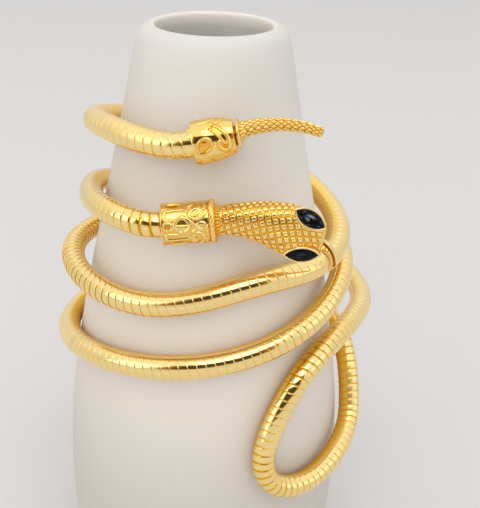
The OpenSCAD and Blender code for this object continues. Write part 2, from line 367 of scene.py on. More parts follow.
@dataclass(frozen=True)
class Ornament:
    """Cast relief over one half of a cap, and the same again on the other half."""

    lines: tuple[Line, ...]
    ovals: tuple[Oval, ...]

    def over(self, along: Array, across: Array) -> tuple[Array, Array]:
        """Relief of all lines and ovals together.

        Args:
            along: Distance of each place along the cap.
            across: Distance of each place round the cap from the line that faces the viewer.

        Returns:
            The height of each place, and how hollow it lies, painted as shade beside raised lines and in sunk fields.
        """
        raised, sunk, beside = np.zeros((3, *along.shape))
        for mark in (*self.ovals, *self.lines):
            h = mark.over(along, across)
            raised, sunk = np.maximum(raised, h), np.minimum(sunk, h)
        for mark in self.lines:
            if mark.height > 0:
                wide = Line(mark.points, mark.half_width * 2.4, 1.0)
                beside = np.maximum(beside, wide.over(along, across))
        # Painted shade beside raised lines and in sunk fields.
        hollow = np.clip(0.52 * beside * (1 - ease(0.03, 0.14, raised)) - sunk / 0.5, 0, 1)
        return raised + sunk, hollow


# The course of the chain, as the solids have it

STAND_OUTSIDE = (
    (0, 43), (2.5, 46.3), (8, 48.2), (20, 49.5), (40, 49.8), (60, 49.2), (76, 47.6), (90, 45.6), (112, 41.7),
    (127, 38.6), (141, 35.2), (157, 31.7), (169, 28.9), (181, 26.3), (192, 24), (201.5, 21.9), (204, 20.4),
    (205, 18),
)  # fmt: skip
COURSE_ROWS = (
    (7, 3.3, 181.2), (15, 3.4, 180), (28, 3, 179.8), (45, 2.8, 180.2), (65, 3.2, 179.6), (90, 4.2, 176.8),
    (135, 2, 169.6), (180, 1, 160), (225, 1.9, 150), (270, 3.4, 143.5), (308, 3.2, 142.2), (337, 1.7, 144.1),
    (360, 0.7, 138.8), (383, 0.7, 134.4), (410, 2.3, 134.2), (450, 3.8, 134), (495, 1.2, 129), (540, 0.6, 127.5),
    (585, 1.7, 131), (630, 4, 135.5), (675, 0.7, 125.4), (720, 0.6, 118.7), (765, 0.5, 113.6),
    (810, 0.4, 103.5), (855, 0.6, 98.5), (900, 0.6, 97), (940, 0.6, 99), (968, 1, 98), (988, 1.5, 92),
    (999, 1.5, 82), (1005, 1.5, 73.8), (1025, 1, 71.9), (1038, 0.6, 69.4), (1055, 0.5, 73.2), (1060, 0.48, 84),
    (1056.5, 0.5, 94.6), (1049, 0.55, 104.6), (1039.3, 0.8, 112.6), (1018, 1.3, 115.9), (992, 6, 113),
    (964, 15.4, 107.2), (930, 17.5, 112.5), (900, 12, 124), (870, 6.5, 138), (840, 2.2, 149.5), (810, 0.7, 154.5),
    (790, 1.5, 156.5), (768.4, 4.5, 159.3), (753, 6.3, 160.3), (743.6, 6.7, 160), (737.6, 5.5, 160.5),
)  # fmt: skip


def stand_radius(height: Array) -> Array:
    """Radius of the stand's outside at each height."""
    stand = np.array(STAND_OUTSIDE, float)
    return np.interp(height, stand[:, 0], stand[:, 1])


@dataclass
class Course:
    """Middle line of the chain from its tail to its head, in millimetres.

    A row of its table has the angle from the front towards the left, the stand-off and the height.
    """

    chain_radius: float = 3.6
    insert: float = 5.0
    spare: float = 12.0
    samples: int = 200
    step: float = 0.25
    line_softness: float = 1.6
    way_softness: float = 3.0
    bend_softness: float = 2.0

    def __post_init__(self) -> None:
        """Measures the course, and works out its tangents and bends."""
        rows = np.array(COURSE_ROWS, float)
        last = len(rows) - 1
        ends = self.on_stand(smooth_rows(rows, np.array([0, 0.1, last - 0.1, last])))
        self.tail_at, self.head_at = ends[0], ends[3]
        self.tail_way, self.head_way = unit(ends[0] - ends[1]), unit(ends[3] - ends[2])
        line = self.on_stand(smooth_rows(rows, np.linspace(0, last, last * self.samples + 1)))
        reach = reach_along(line)
        self.length = float(reach[-1])
        self.s = np.arange(-self.spare, self.length + self.spare, self.step)
        s = self.s[:, None]
        before = self.tail_at - self.tail_way * np.minimum(s, 0)
        after = self.head_at + self.head_way * np.maximum(s - self.length, 0)
        line = np.where(s < 0, before, np.where(s > self.length, after, rows_at(self.s, reach, line)))
        self.line = self.softened(line, self.line_softness)
        self.way = unit(np.gradient(self.line, self.step, axis=0))
        turning = np.gradient(self.softened(self.way, self.way_softness), self.step, axis=0)
        self.bend = self.softened(turning, self.bend_softness)

    def on_stand(self, rows: Array) -> Array:
        """Points (-r sin a, -r cos a, z) for rows of angle a, stand-off and height z.

        Args:
            rows: Rows of the course.

        Returns:
            The points, with r the stand's radius at that height + half the chain + the stand-off.
        """
        r = stand_radius(rows[:, 2]) + self.chain_radius + rows[:, 1]
        a = np.radians(rows[:, 0])
        return np.stack([-r * np.sin(a), -r * np.cos(a), rows[:, 2]], 1)

    def softened(self, values: Array, width: float) -> Array:
        """Each column averaged under a bell curve along the course, both ends mirrored.

        Args:
            values: Rows of values, one for each step of the course.
            width: Width of the bell curve.

        Returns:
            The averaged rows.
        """
        reach = int(4 * width / self.step)
        x = np.arange(-reach, reach + 1) * self.step
        bell = np.exp(-0.5 * (x / width) ** 2)
        bell /= bell.sum()
        before, after = 2 * values[0] - values[reach:0:-1], 2 * values[-1] - values[-2 : -reach - 2 : -1]
        padded = np.vstack([before, values, after])
        return np.stack([np.convolve(column, bell, "valid") for column in padded.T], 1)

    def frames(self, s: Array) -> tuple[Array, Array, Array, Array]:
        """Middle line at lengths s.

        Args:
            s: Lengths along the course, 0 at the tail's cap.

        Returns:
            The point, the direction away from the stand, the sideways direction, and the bend at each length.
        """
        p, way, bend = (rows_at(s, self.s, rows) for rows in (self.line, self.way, self.bend))
        way = unit(way)
        away = unit(p * np.array([1, 1, 0]))
        out = unit(away - way * (away * way).sum(1, keepdims=True))
        return p, out, np.cross(way, out), bend


# Finishes


@dataclass
class Wiring:
    """Short ways to add shader nodes to a tree and feed them."""

    tree: bpy.types.NodeTree

    def fill(self, place: Socket, value: object) -> None:
        """Feeds an input: with a socket by a link, or with a number or a colour."""
        if isinstance(value, Socket):
            self.tree.links.new(value, place)
        else:
            place.default_value = (*value, 1) if isinstance(value, tuple) else value

    def feed(self, node: Node, feeds: dict[str, object]) -> None:
        """Feeds the named inputs of a node."""
        for title, value in feeds.items():
            self.fill(node.inputs[title], value)

    def node(self, kind: str, feeds: dict[str, object] | None = None, **settings: object) -> Node:
        """A new node.

        Args:
            kind: Its type.
            feeds: What its named inputs get.
            **settings: Its properties.

        Returns:
            The node.
        """
        made = self.tree.nodes.new(kind)
        for key, value in settings.items():
            setattr(made, key, value)
        self.feed(made, feeds or {})
        return made

    def math(self, operation: str, *values: object) -> Socket:
        """A Math node over numbers and sockets."""
        made = self.node("ShaderNodeMath", operation=operation)
        for place, value in zip(made.inputs, values):
            self.fill(place, value)
        return made.outputs[0]

    def times(self, first: object, second: object) -> Socket:
        """The product of two values."""
        return self.math("MULTIPLY", first, second)

    def plus(self, first: object, second: object) -> Socket:
        """The sum of two values."""
        return self.math("ADD", first, second)

    def blend(self, share: Socket, first: object, second: object) -> Socket:
        """A colour mix from first to second by a share from 0 to 1."""
        made = self.node("ShaderNodeMix", data_type="RGBA", clamp_factor=True)
        for place, value in zip((0, 6, 7), (share, first, second)):
            self.fill(made.inputs[place], value)
        return made.outputs[2]

    def rise(self, source: Socket, low: float, high: float, first: float = 0.0, last: float = 1.0) -> Socket:
        """Smooth step from first, where the source is low, to last, where it is high."""
        feeds = {"Value": source, "From Min": low, "From Max": high, "To Min": first, "To Max": last}
        return self.node("ShaderNodeMapRange", feeds, interpolation_type="SMOOTHSTEP").outputs["Result"]

    def where(self) -> Socket:
        """The object's own coordinates."""
        return self.node("ShaderNodeTexCoord").outputs["Object"]

    def apart(self, vector: Socket) -> bpy.types.bpy_prop_collection:
        """The X, Y and Z of a vector."""
        return self.node("ShaderNodeSeparateXYZ", {"Vector": vector}).outputs

    def noise(self, scale: object, detail: float = 2) -> Socket:
        """Noise of a scale per metre over the object's own coordinates."""
        feeds = {"Vector": self.where(), "Scale": scale, "Detail": detail}
        return self.node("ShaderNodeTexNoise", feeds).outputs["Fac"]

    def mark(self, name: str) -> Socket:
        """Values that the mesh's points carry."""
        return self.node("ShaderNodeAttribute", attribute_name=name).outputs["Fac"]

    def ripples(self, scale: float, fine: float, depth: float) -> Socket:
        """Normal of an uneven surface, from the ripples group, its depth in metres."""
        group = self.node("ShaderNodeGroup", {"Scale": scale, "Fine": fine}, node_tree=ripple_group())
        feeds = {"Height": group.outputs["Height"], "Distance": depth}
        return self.node("ShaderNodeBump", feeds).outputs["Normal"]


def new_group(name: str, inputs: dict[str, str], outputs: dict[str, str]) -> tuple[Wiring, Node, Node]:
    """An empty node group.

    Args:
        name: Name of the group.
        inputs: Name and kind of each input.
        outputs: Name and kind of each output.

    Returns:
        The group's wiring, its input node and its output node.
    """
    w = Wiring(bpy.data.node_groups.new(name, "ShaderNodeTree"))
    for way, sockets in (("INPUT", inputs), ("OUTPUT", outputs)):
        for title, kind in sockets.items():
            w.tree.interface.new_socket(name=title, in_out=way, socket_type=f"NodeSocket{kind}")
    return w, w.node("NodeGroupInput"), w.node("NodeGroupOutput")


@cache
def plate_group() -> bpy.types.NodeTree:
    """Gold plate with painted shade: warmer in shallow hollows, brown and duller in deep ones; tint and polish drift.
    """
    colours = dict.fromkeys(("Face", "Warm", "Deep", "Tint"), "Color")
    numbers = dict.fromkeys(("Polish", "Drift", "Hollow"), "Float")
    w, source, result = new_group("plated", colours | numbers, {"Colour": "Color", "Roughness": "Float"})
    given = source.outputs
    tinted = w.blend(w.times(w.noise(90, 3), 0.45), given["Face"], given["Tint"])
    # Painted shade: the hollow mark turns the tinted gold orange, then deep brown.
    warm_shaded = w.blend(w.times(given["Hollow"], 2.0), tinted, given["Warm"])
    depth = w.times(w.math("SUBTRACT", given["Hollow"], 0.5), 2.0)
    drift = w.times(w.math("SUBTRACT", w.noise(700), 0.5), given["Drift"])
    rough = w.plus(w.plus(given["Polish"], drift), w.times(given["Hollow"], 0.16))
    w.feed(result, {"Colour": w.blend(depth, warm_shaded, given["Deep"]), "Roughness": rough})
    return w.tree


@cache
def ripple_group() -> bpy.types.NodeTree:
    """Uneven surface: noise of a given scale as a height, with a share of noise six times as fine on top."""
    w, source, result = new_group("ripples", {"Scale": "Float", "Fine": "Float"}, {"Height": "Float"})
    scale, share = source.outputs["Scale"], source.outputs["Fine"]
    fine = w.times(w.noise(w.times(scale, 6.0)), share)
    w.feed(result, {"Height": w.plus(w.noise(scale), fine)})
    return w.tree


def new_finish(name: str) -> tuple[Material, Wiring, Node]:
    """A new material, its wiring and its Principled shader."""
    material = bpy.data.materials.new(name)
    material.use_nodes = True
    return material, Wiring(material.node_tree), material.node_tree.nodes["Principled BSDF"]


@dataclass(frozen=True)
class GoldFinish:
    """Gold plate over brass: colours are the metal's own reflection, in linear light.

    Face turns to edge where the surface turns away, tint drifts over both, and the two colours for hollows are
    painted shade, laid where the hollow mark is high. The ripples have a scale per metre and a depth in metres.
    Satin is roughness added far out and high up.
    """

    name: str
    face: Colour
    tint: Colour
    # Painted shade, orange in shallow hollows and beside the stand, brown in deep hollows:
    warm_shade: Colour
    deep: Colour
    edge: Colour
    polish: float
    drift: float
    ripple_scale: float
    ripple_depth: float
    satin: float = 0.0
    satin_zone: Pair = (0.038, 0.047)
    satin_height: float = 0.160
    satin_climb: float = 1.4
    edge_zone: Pair = (0.35, 0.9)

    def outer(self, w: Wiring) -> Socket:
        """Share of satin: a smooth step over its zone of |x| + its climb times the height over its own."""
        where = w.apart(w.where())
        height = w.math("MAXIMUM", w.math("SUBTRACT", where["Z"], self.satin_height), 0.0)
        return w.rise(w.plus(w.math("ABSOLUTE", where["X"]), w.times(height, self.satin_climb)), *self.satin_zone)

    def build(self) -> Material:
        """The material, its colour and polish from the plate group and its bump from the ripples."""
        material, w, shader = new_finish(self.name)
        turned = w.rise(w.node("ShaderNodeLayerWeight").outputs["Facing"], *self.edge_zone)
        feeds = {
            "Face": w.blend(turned, self.face, self.edge),
            "Tint": self.tint,
            "Warm": self.warm_shade,
            "Deep": self.deep,
            "Polish": self.polish,
            "Drift": self.drift,
            "Hollow": w.mark("hollow"),
        }
        plate = w.node("ShaderNodeGroup", feeds, node_tree=plate_group())
        rough = plate.outputs["Roughness"]
        if self.satin:
            rough = w.plus(rough, w.times(self.outer(w), self.satin))
        normal = w.ripples(self.ripple_scale, 0.35, self.ripple_depth)
        colour = plate.outputs["Colour"]
        w.feed(shader, {"Base Color": colour, "Metallic": 1.0, "Roughness": rough, "Normal": normal})
        return material


# In each plate, the third and fourth colours are painted shade for hollows.
GOLD_PLATES = (
    GoldFinish(
        "chain_plate", (1.0, 0.79, 0.36), (0.99, 0.71, 0.23), (0.95, 0.54, 0.02), (0.55, 0.27, 0.015),
        (1.0, 0.85, 0.50), 0.11, 0.05, 500, 0.000006, 0.2,
    ),
    GoldFinish(
        "cast_plate", (1.0, 0.78, 0.31), (1.0, 0.70, 0.22), (0.97, 0.50, 0.03), (0.42, 0.15, 0.006),
        (0.98, 0.58, 0.08), 0.16, 0.10, 900, 0.000014,
    ),
    GoldFinish(
        "bright_plate", (1.0, 0.73, 0.25), (1.0, 0.66, 0.18), (0.93, 0.45, 0.015), (0.22, 0.07, 0.004),
        (0.98, 0.56, 0.07), 0.09, 0.06, 900, 0.000008,
    ),
    GoldFinish(
        "rim_plate", (1.0, 0.80, 0.42), (1.0, 0.72, 0.28), (0.93, 0.47, 0.02), (0.22, 0.07, 0.004),
        (1.0, 0.78, 0.38), 0.10, 0.06, 900, 0.000008,
    ),
)  # fmt: skip


@dataclass(frozen=True)
class CeramicFinish:
    """Matt off-white glaze with painted shade at the foot and towards the mouth, painted light inside the lip, faint
    clouds, fine pits and a sheen.
    """

    name: str = "matt_glaze"
    body: Colour = (0.745, 0.70, 0.63)
    cloud: Colour = (0.72, 0.665, 0.595)
    # Painted shade: foot and shoulder darken the glaze low down and near the mouth. Painted light: within is the
    # paler band inside the lip.
    foot: Colour = (0.575, 0.538, 0.494)
    shoulder: Colour = (0.655, 0.635, 0.595)
    within: Colour = (0.77, 0.72, 0.67)
    pit: Colour = (0.55, 0.49, 0.42)
    foot_shade_zone: Pair = (0.12, 0.05)
    mouth_shade_zone: Pair = (0.145, 0.195)

    def build(self) -> Material:
        """The material: clouds drift its colour and roughness, and ripples give it its slight unevenness."""
        material, w, shader = new_finish(self.name)
        height = w.apart(w.where())["Z"]
        clouds = w.noise(28, 5)
        base = w.blend(w.times(clouds, 0.8), self.body, self.cloud)
        # Painted shade low down and near the mouth, then painted light inside the lip.
        base = w.blend(w.rise(height, *self.foot_shade_zone), base, self.foot)
        base = w.blend(w.rise(height, *self.mouth_shade_zone), base, self.shoulder)
        base = w.blend(w.mark("hollow"), base, self.within)
        pits = w.times(w.math("GREATER_THAN", w.noise(1400, 1), 0.72), 0.12)
        rough = w.plus(0.5, w.times(clouds, 0.16))
        colour, normal = w.blend(pits, base, self.pit), w.ripples(260, 0.7, 0.00009)
        w.feed(shader, {"Base Color": colour, "Roughness": rough, "Normal": normal})
        return material


@dataclass(frozen=True)
class StoneFinish:
    """Black polished stone with a faint smoky drift inside and a painted grey glint on its table."""

    name: str = "black_facets"
    deep: Colour = (0.002, 0.002, 0.003)
    smoke: Colour = (0.005, 0.006, 0.008)
    glint: Colour = (0.22, 0.26, 0.31)

    def build(self) -> Material:
        """The material: a noise drifts its near-black colour and its high polish, and the mesh marks its painted
        glint.
        """
        material, w, shader = new_finish(self.name)
        smoke = w.noise(420, 3)
        colour = w.blend(w.mark("hollow"), w.blend(smoke, self.deep, self.smoke), self.glint)
        w.feed(shader, {"Base Color": colour, "Roughness": w.times(smoke, 0.09)})
        w.feed(shader, {"IOR": 1.5, "Specular IOR Level": 0.09})
        return material


@dataclass(frozen=True)
class PaperFinish:
    """Pale studio paper."""

    name: str = "studio_paper"
    tone: Colour = (0.64, 0.632, 0.63)

    def build(self) -> Material:
        """The material: plain diffuse paper with a trace of tooth."""
        material, w, shader = new_finish(self.name)
        w.feed(shader, {"Base Color": self.tone, "Roughness": 0.95, "Specular IOR Level": 0.1})
        w.feed(shader, {"Normal": w.ripples(300, 0.5, 0.00004)})
        return material


# The stand


@dataclass(frozen=True)
class Stand:
    """Hollow thrown vase with a rounded lip, whose rows have a radius and a height."""

    wall: float = 5.5
    floor: float = 6.0
    sides: int = 256
    lip: Table = ((16.9, 204.8), (16.4, 203.6), (16.9, 199))
    floor_edge: float = 39.7
    under_rings: Row = (4, 18, 30, 38, 42)
    floor_rings: Row = (36, 24, 12, 3)
    painted_light_heights: Pair = (200.6, 202.6)

    def outline(self) -> Array:
        """Radius and height from under the foot, up the outside, over the lip and down inside to the floor."""
        outside = [(r, z) for z, r in STAND_OUTSIDE]
        inside = [(r - self.wall, z) for z, r in STAND_OUTSIDE[-5:1:-1]]
        skin = spline([*outside, *self.lip, *inside, (self.floor_edge, self.floor)], 210)
        under = [(r, 0) for r in self.under_rings]
        return np.vstack([under, skin, [(r, self.floor) for r in self.floor_rings]])

    def build(self, finish: Material) -> None:
        """Makes the vase; the marks give the painted light, a paler band inside its lip."""
        outline = self.outline()
        inside = np.arange(len(outline)) > outline[:, 1].argmax()
        # Painted light inside the lip, fading out below it.
        pale = (inside * ease(*self.painted_light_heights, outline[:, 1]))[:, None]
        skin = Skin.lathe(outline, self.sides, 0, pale)
        skin.hand_over("ceramic_stand", finish, Slot.CERAMIC, ["stand"], Shading.SMOOTH)


# The chain


@dataclass
class SnakeChain:
    """Banded snake chain: one strip wound in a helix round the course, its edges a narrow groove.

    A row of relief has a length along the chain and how strongly the bands stand out there.
    """

    course: Course
    pitch: float = 2.5
    around: int = 46
    groove_half: float = 0.025
    groove_depth: float = 0.12
    widest_half: float = 0.34
    # Most painted shade on the side next to the stand.
    shade_most: float = 0.66
    relief: Table = (
        (0, 0.45), (30, 0.3), (60, 0.25), (120, 1.0), (185, 0.8), (200, 0.35), (242, 0.4), (262, 1.5), (275, 1.7),
        (320, 1.8), (380, 1.0), (430, 1.7), (480, 1.6), (496, 0.5), (520, 0.35), (550, 0.3), (620, 0.4), (690, 1.2),
        (730, 1.7), (800, 1.8), (825, 1.2), (870, 1.0), (1020, 1.6), (1045, 2.6), (1080, 2.3), (1098, 1.6),
        (1112, 1.2),
    )  # fmt: skip

    def __post_init__(self) -> None:
        """Fits a whole number of bands to the course."""
        full = self.course.length + 2 * self.course.insert
        self.turns = round(full / self.pitch)
        self.band = full / self.turns

    def band_profile(self, stretch: Array, curve: Array, drift: Array, relief: Array) -> tuple[Array, ...]:
        """Places across one band, as shares of its length, with how deep and how hollow each lies.

        The groove opens where a bend stretches the outside, the bands lean into steps on both sides of a bend, and
        their shoulders grow round where the bend is tight or the relief strong.

        Args:
            stretch: Share by which a bend lengthens the surface at each corner of the helix.
            curve: The chain's radius over the bend's radius.
            drift: Small lean of its own for each corner.
            relief: How strongly the bands stand out there, 1 being ordinary.

        Returns:
            Shares, depths and hollow marks for the painted shade in grooves and on shoulders, each helix corners x 8.
        """
        longer, shorter = np.maximum(stretch, 0), np.maximum(-stretch, 0)
        half = np.clip(self.groove_half + 0.42 * self.band * longer, 0, self.widest_half)
        e = (half / (self.band * (1 + stretch)))[:, None]
        one = np.ones_like(e)
        q = np.maximum(ease(0.05, 0.24, curve), 0.6 * np.clip(relief - 1, 0, 1))[:, None]
        near, far = e + 0.025 + 0.07 * q, e + 0.045 + 0.17 * q
        share = np.hstack([0.8 * e, e + 0.006, near, far, one - far, one - near, one - e - 0.006, one - 0.8 * e])
        lean = 0.6 * shorter + 0.9 * longer + 0.05 * ease(0.01, 0.09, np.abs(stretch)) + drift
        lean = lean[:, None] * relief[:, None]
        shoulder = np.array([1, 0.25, 0, 0, 0, 0, 0.25, 1]) + q * np.array([0, 0.45, 0.32, 0, 0, 0.32, 0.45, 0])
        deep = shoulder * self.groove_depth * (0.4 + 0.6 * relief[:, None])
        # Painted shade in the grooves and on the shoulders, stronger at bends and where the relief is high.
        plain = 0.08 + 0.3 * np.maximum(relief - 1, 0) + 1.3 * curve + 4.5 * np.abs(stretch)
        strength = np.clip(plain * (1 + 40 * drift) * np.minimum(relief, 1), 0, 0.95)[:, None]
        hollow = np.array([1, 0.6, 0, 0, 0, 0, 0.6, 1]) + q * np.array([0, 0.2, 0.5, 0, 0, 0.5, 0.2, 0])
        return share, lean * share + deep, hollow * strength

    def shade(self, middle: Array, angle: Array) -> Array:
        """Painted shade and painted reflection of the shaded stand: deeper gold on the side next to it.

        Args:
            middle: Points of the chain's middle line.
            angle: Angle round it of each corner, 0 pointing away from the stand.

        Returns:
            The most shade, times 1.5 / (gap + 0.9), at most 1, times a smooth step of how far it faces the stand.
        """
        gap = np.hypot(middle[:, 0], middle[:, 1]) - stand_radius(middle[:, 2]) - self.course.chain_radius
        near = np.clip(1.5 / (np.maximum(gap, 0) + 0.9), 0, 1)
        return self.shade_most * near * ease(-0.15, 0.45, -np.cos(angle))

    def run(self, first: int, last: int) -> Skin:
        """The strip from one turn to another, closed at both ends.

        Corner (m, k) lies at the length (m / around + share k) bands, at the angle 360 m / around round the course,
        at the chain's radius less the depth of k. The far edge of a turn is the near edge of the next.

        Args:
            first: First turn.
            last: Turn after the last.

        Returns:
            The closed skin.
        """
        n, radius = self.around, self.course.chain_radius
        steps = np.arange(first * n, last * n + 1)
        angle = 2 * np.pi * (steps % n) / n
        turn = steps / n
        near = turn * self.band - self.course.insert
        middle, out, side, bend = self.course.frames(near)
        face = np.cos(angle)[:, None] * out + np.sin(angle)[:, None] * side
        stretch = np.clip(-radius * (bend * face).sum(1), -0.4, 0.4)
        curve = radius * np.linalg.norm(bend, axis=1)
        drift = 0.004 * (np.sin(turn * 2.399) + np.sin(turn * 4.113 + 1.3) + np.sin(turn * 1.177 + 0.4))
        relief = np.interp(near, *np.array(self.relief).T)
        share, depth, hollow = self.band_profile(stretch, curve, drift, relief)
        # The painted shade next to the stand joins the grooves' painted shade in the hollow marks.
        hollow = np.maximum(hollow, self.shade(middle, angle)[:, None])
        p, out, side, _ = self.course.frames((near[:, None] + share * self.band).ravel())
        spin = np.repeat(angle, share.shape[1])[:, None]
        corners = p + (np.cos(spin) * out + np.sin(spin) * side) * (radius - depth.ravel())[:, None]
        return self.sewn(corners, hollow.ravel(), share.shape[1], (last - 1 - first) * n)

    def sewn(self, corners: Array, hollow: Array, across: int, count: int) -> Skin:
        """Faces of the strip and the fans at its ends; corners past the last turn stay only on its far edge.

        Args:
            corners: Corners of the strip, one turn more than it has.
            hollow: How hollow each corner lies.
            across: Corners across a band.
            count: Steps of the helix in the strip.

        Returns:
            The closed skin.
        """
        n = self.around
        m = np.arange(count)[:, None]
        k = np.arange(across)[None, :]
        a = m * across + k
        b = a + across
        edge = k == across - 1
        c = np.where(edge, (m + 1 + n) * across, b + 1)
        d = np.where(edge, (m + n) * across, a + 1)
        quads = np.stack([a, b, c, d], -1).reshape(-1, 4)
        start = np.concatenate([np.arange(n + 1) * across, np.arange(across - 1, 0, -1)])
        finish = np.concatenate([count * across + np.arange(across), (count + np.arange(n, 0, -1)) * across])
        points = np.vstack([corners, corners[start].mean(0), corners[finish].mean(0)])
        fans = [
            np.stack([np.full(len(ring), centre), ring, np.roll(ring, -1)], 1)
            for ring, centre in ((start, len(corners)), (finish, len(corners) + 1))
        ]
        tris = np.vstack([fans[0], fans[1][:, ::-1]])
        marks = np.concatenate([hollow, [0.5, 0.5]])
        used = np.zeros(len(points), bool)
        used[quads.ravel()] = used[tris.ravel()] = True
        place = np.cumsum(used) - 1
        return Skin(points[used], place[quads], place[tris], marks[used]).outward()

    def build(self, finish: Material) -> None:
        """Makes the chain in two halves, as the solids are."""
        half = self.turns // 2
        for part, first, last in (("upper", 0, half + 1), ("lower", half, self.turns)):
            skin = self.run(first, last)
            skin.hand_over(f"chain_bands_{part}", finish, Slot.CHAIN, [f"chain_{part}"], Shading.ROUND)


# The caps, whose rows have a radius and a distance along the cap

SOCKET = ((0.8, 5.2), (3.5, 5.2), (3.68, 5.1), (3.68, 0.15))


def cap_grid(outline: Array, sides: int, face_turn: float) -> tuple[Array, Array, Array]:
    """Corners of a cap's lathe, outline x sides.

    Args:
        outline: Radius and distance along the cap of each ring.
        sides: Number of corners round.
        face_turn: Angle round the cap of the line that faces the viewer, in degrees.

    Returns:
        The distance along the cap, the angle round it, and the angle from the line that faces the viewer, which
        repeats on the far half.
    """
    z = np.repeat(outline[:, 1:], sides, 1)
    w = np.broadcast_to(full_turn(sides), z.shape)
    return z, w, (math.radians(face_turn) - w + np.pi / 2) % np.pi - np.pi / 2


@dataclass(frozen=True)
class Rope:
    """A twisted rope ring round a cap: its middle along the cap, half its width, its strands and their slant."""

    middle: float
    half: float = 0.8
    strands: int = 24
    slant: float = 1.8

    def over(self, along: Array, angle: Array) -> Array:
        """Half round (1 - (x / half)^2)^0.5 across, with strands of |cos| laid aslant.

        Args:
            along: Distance of each corner along the cap.
            angle: Angle of each corner round the cap, in radians.

        Returns:
            The height over the barrel as a share of half the ring's width.
        """
        x = (along - self.middle) / self.half
        phase = self.strands * angle / 2 + np.pi * self.slant * x / 2
        return np.sqrt(np.clip(1 - x * x, 0, 1)) * (0.45 + 0.55 * np.abs(np.cos(phase)) ** 0.6)


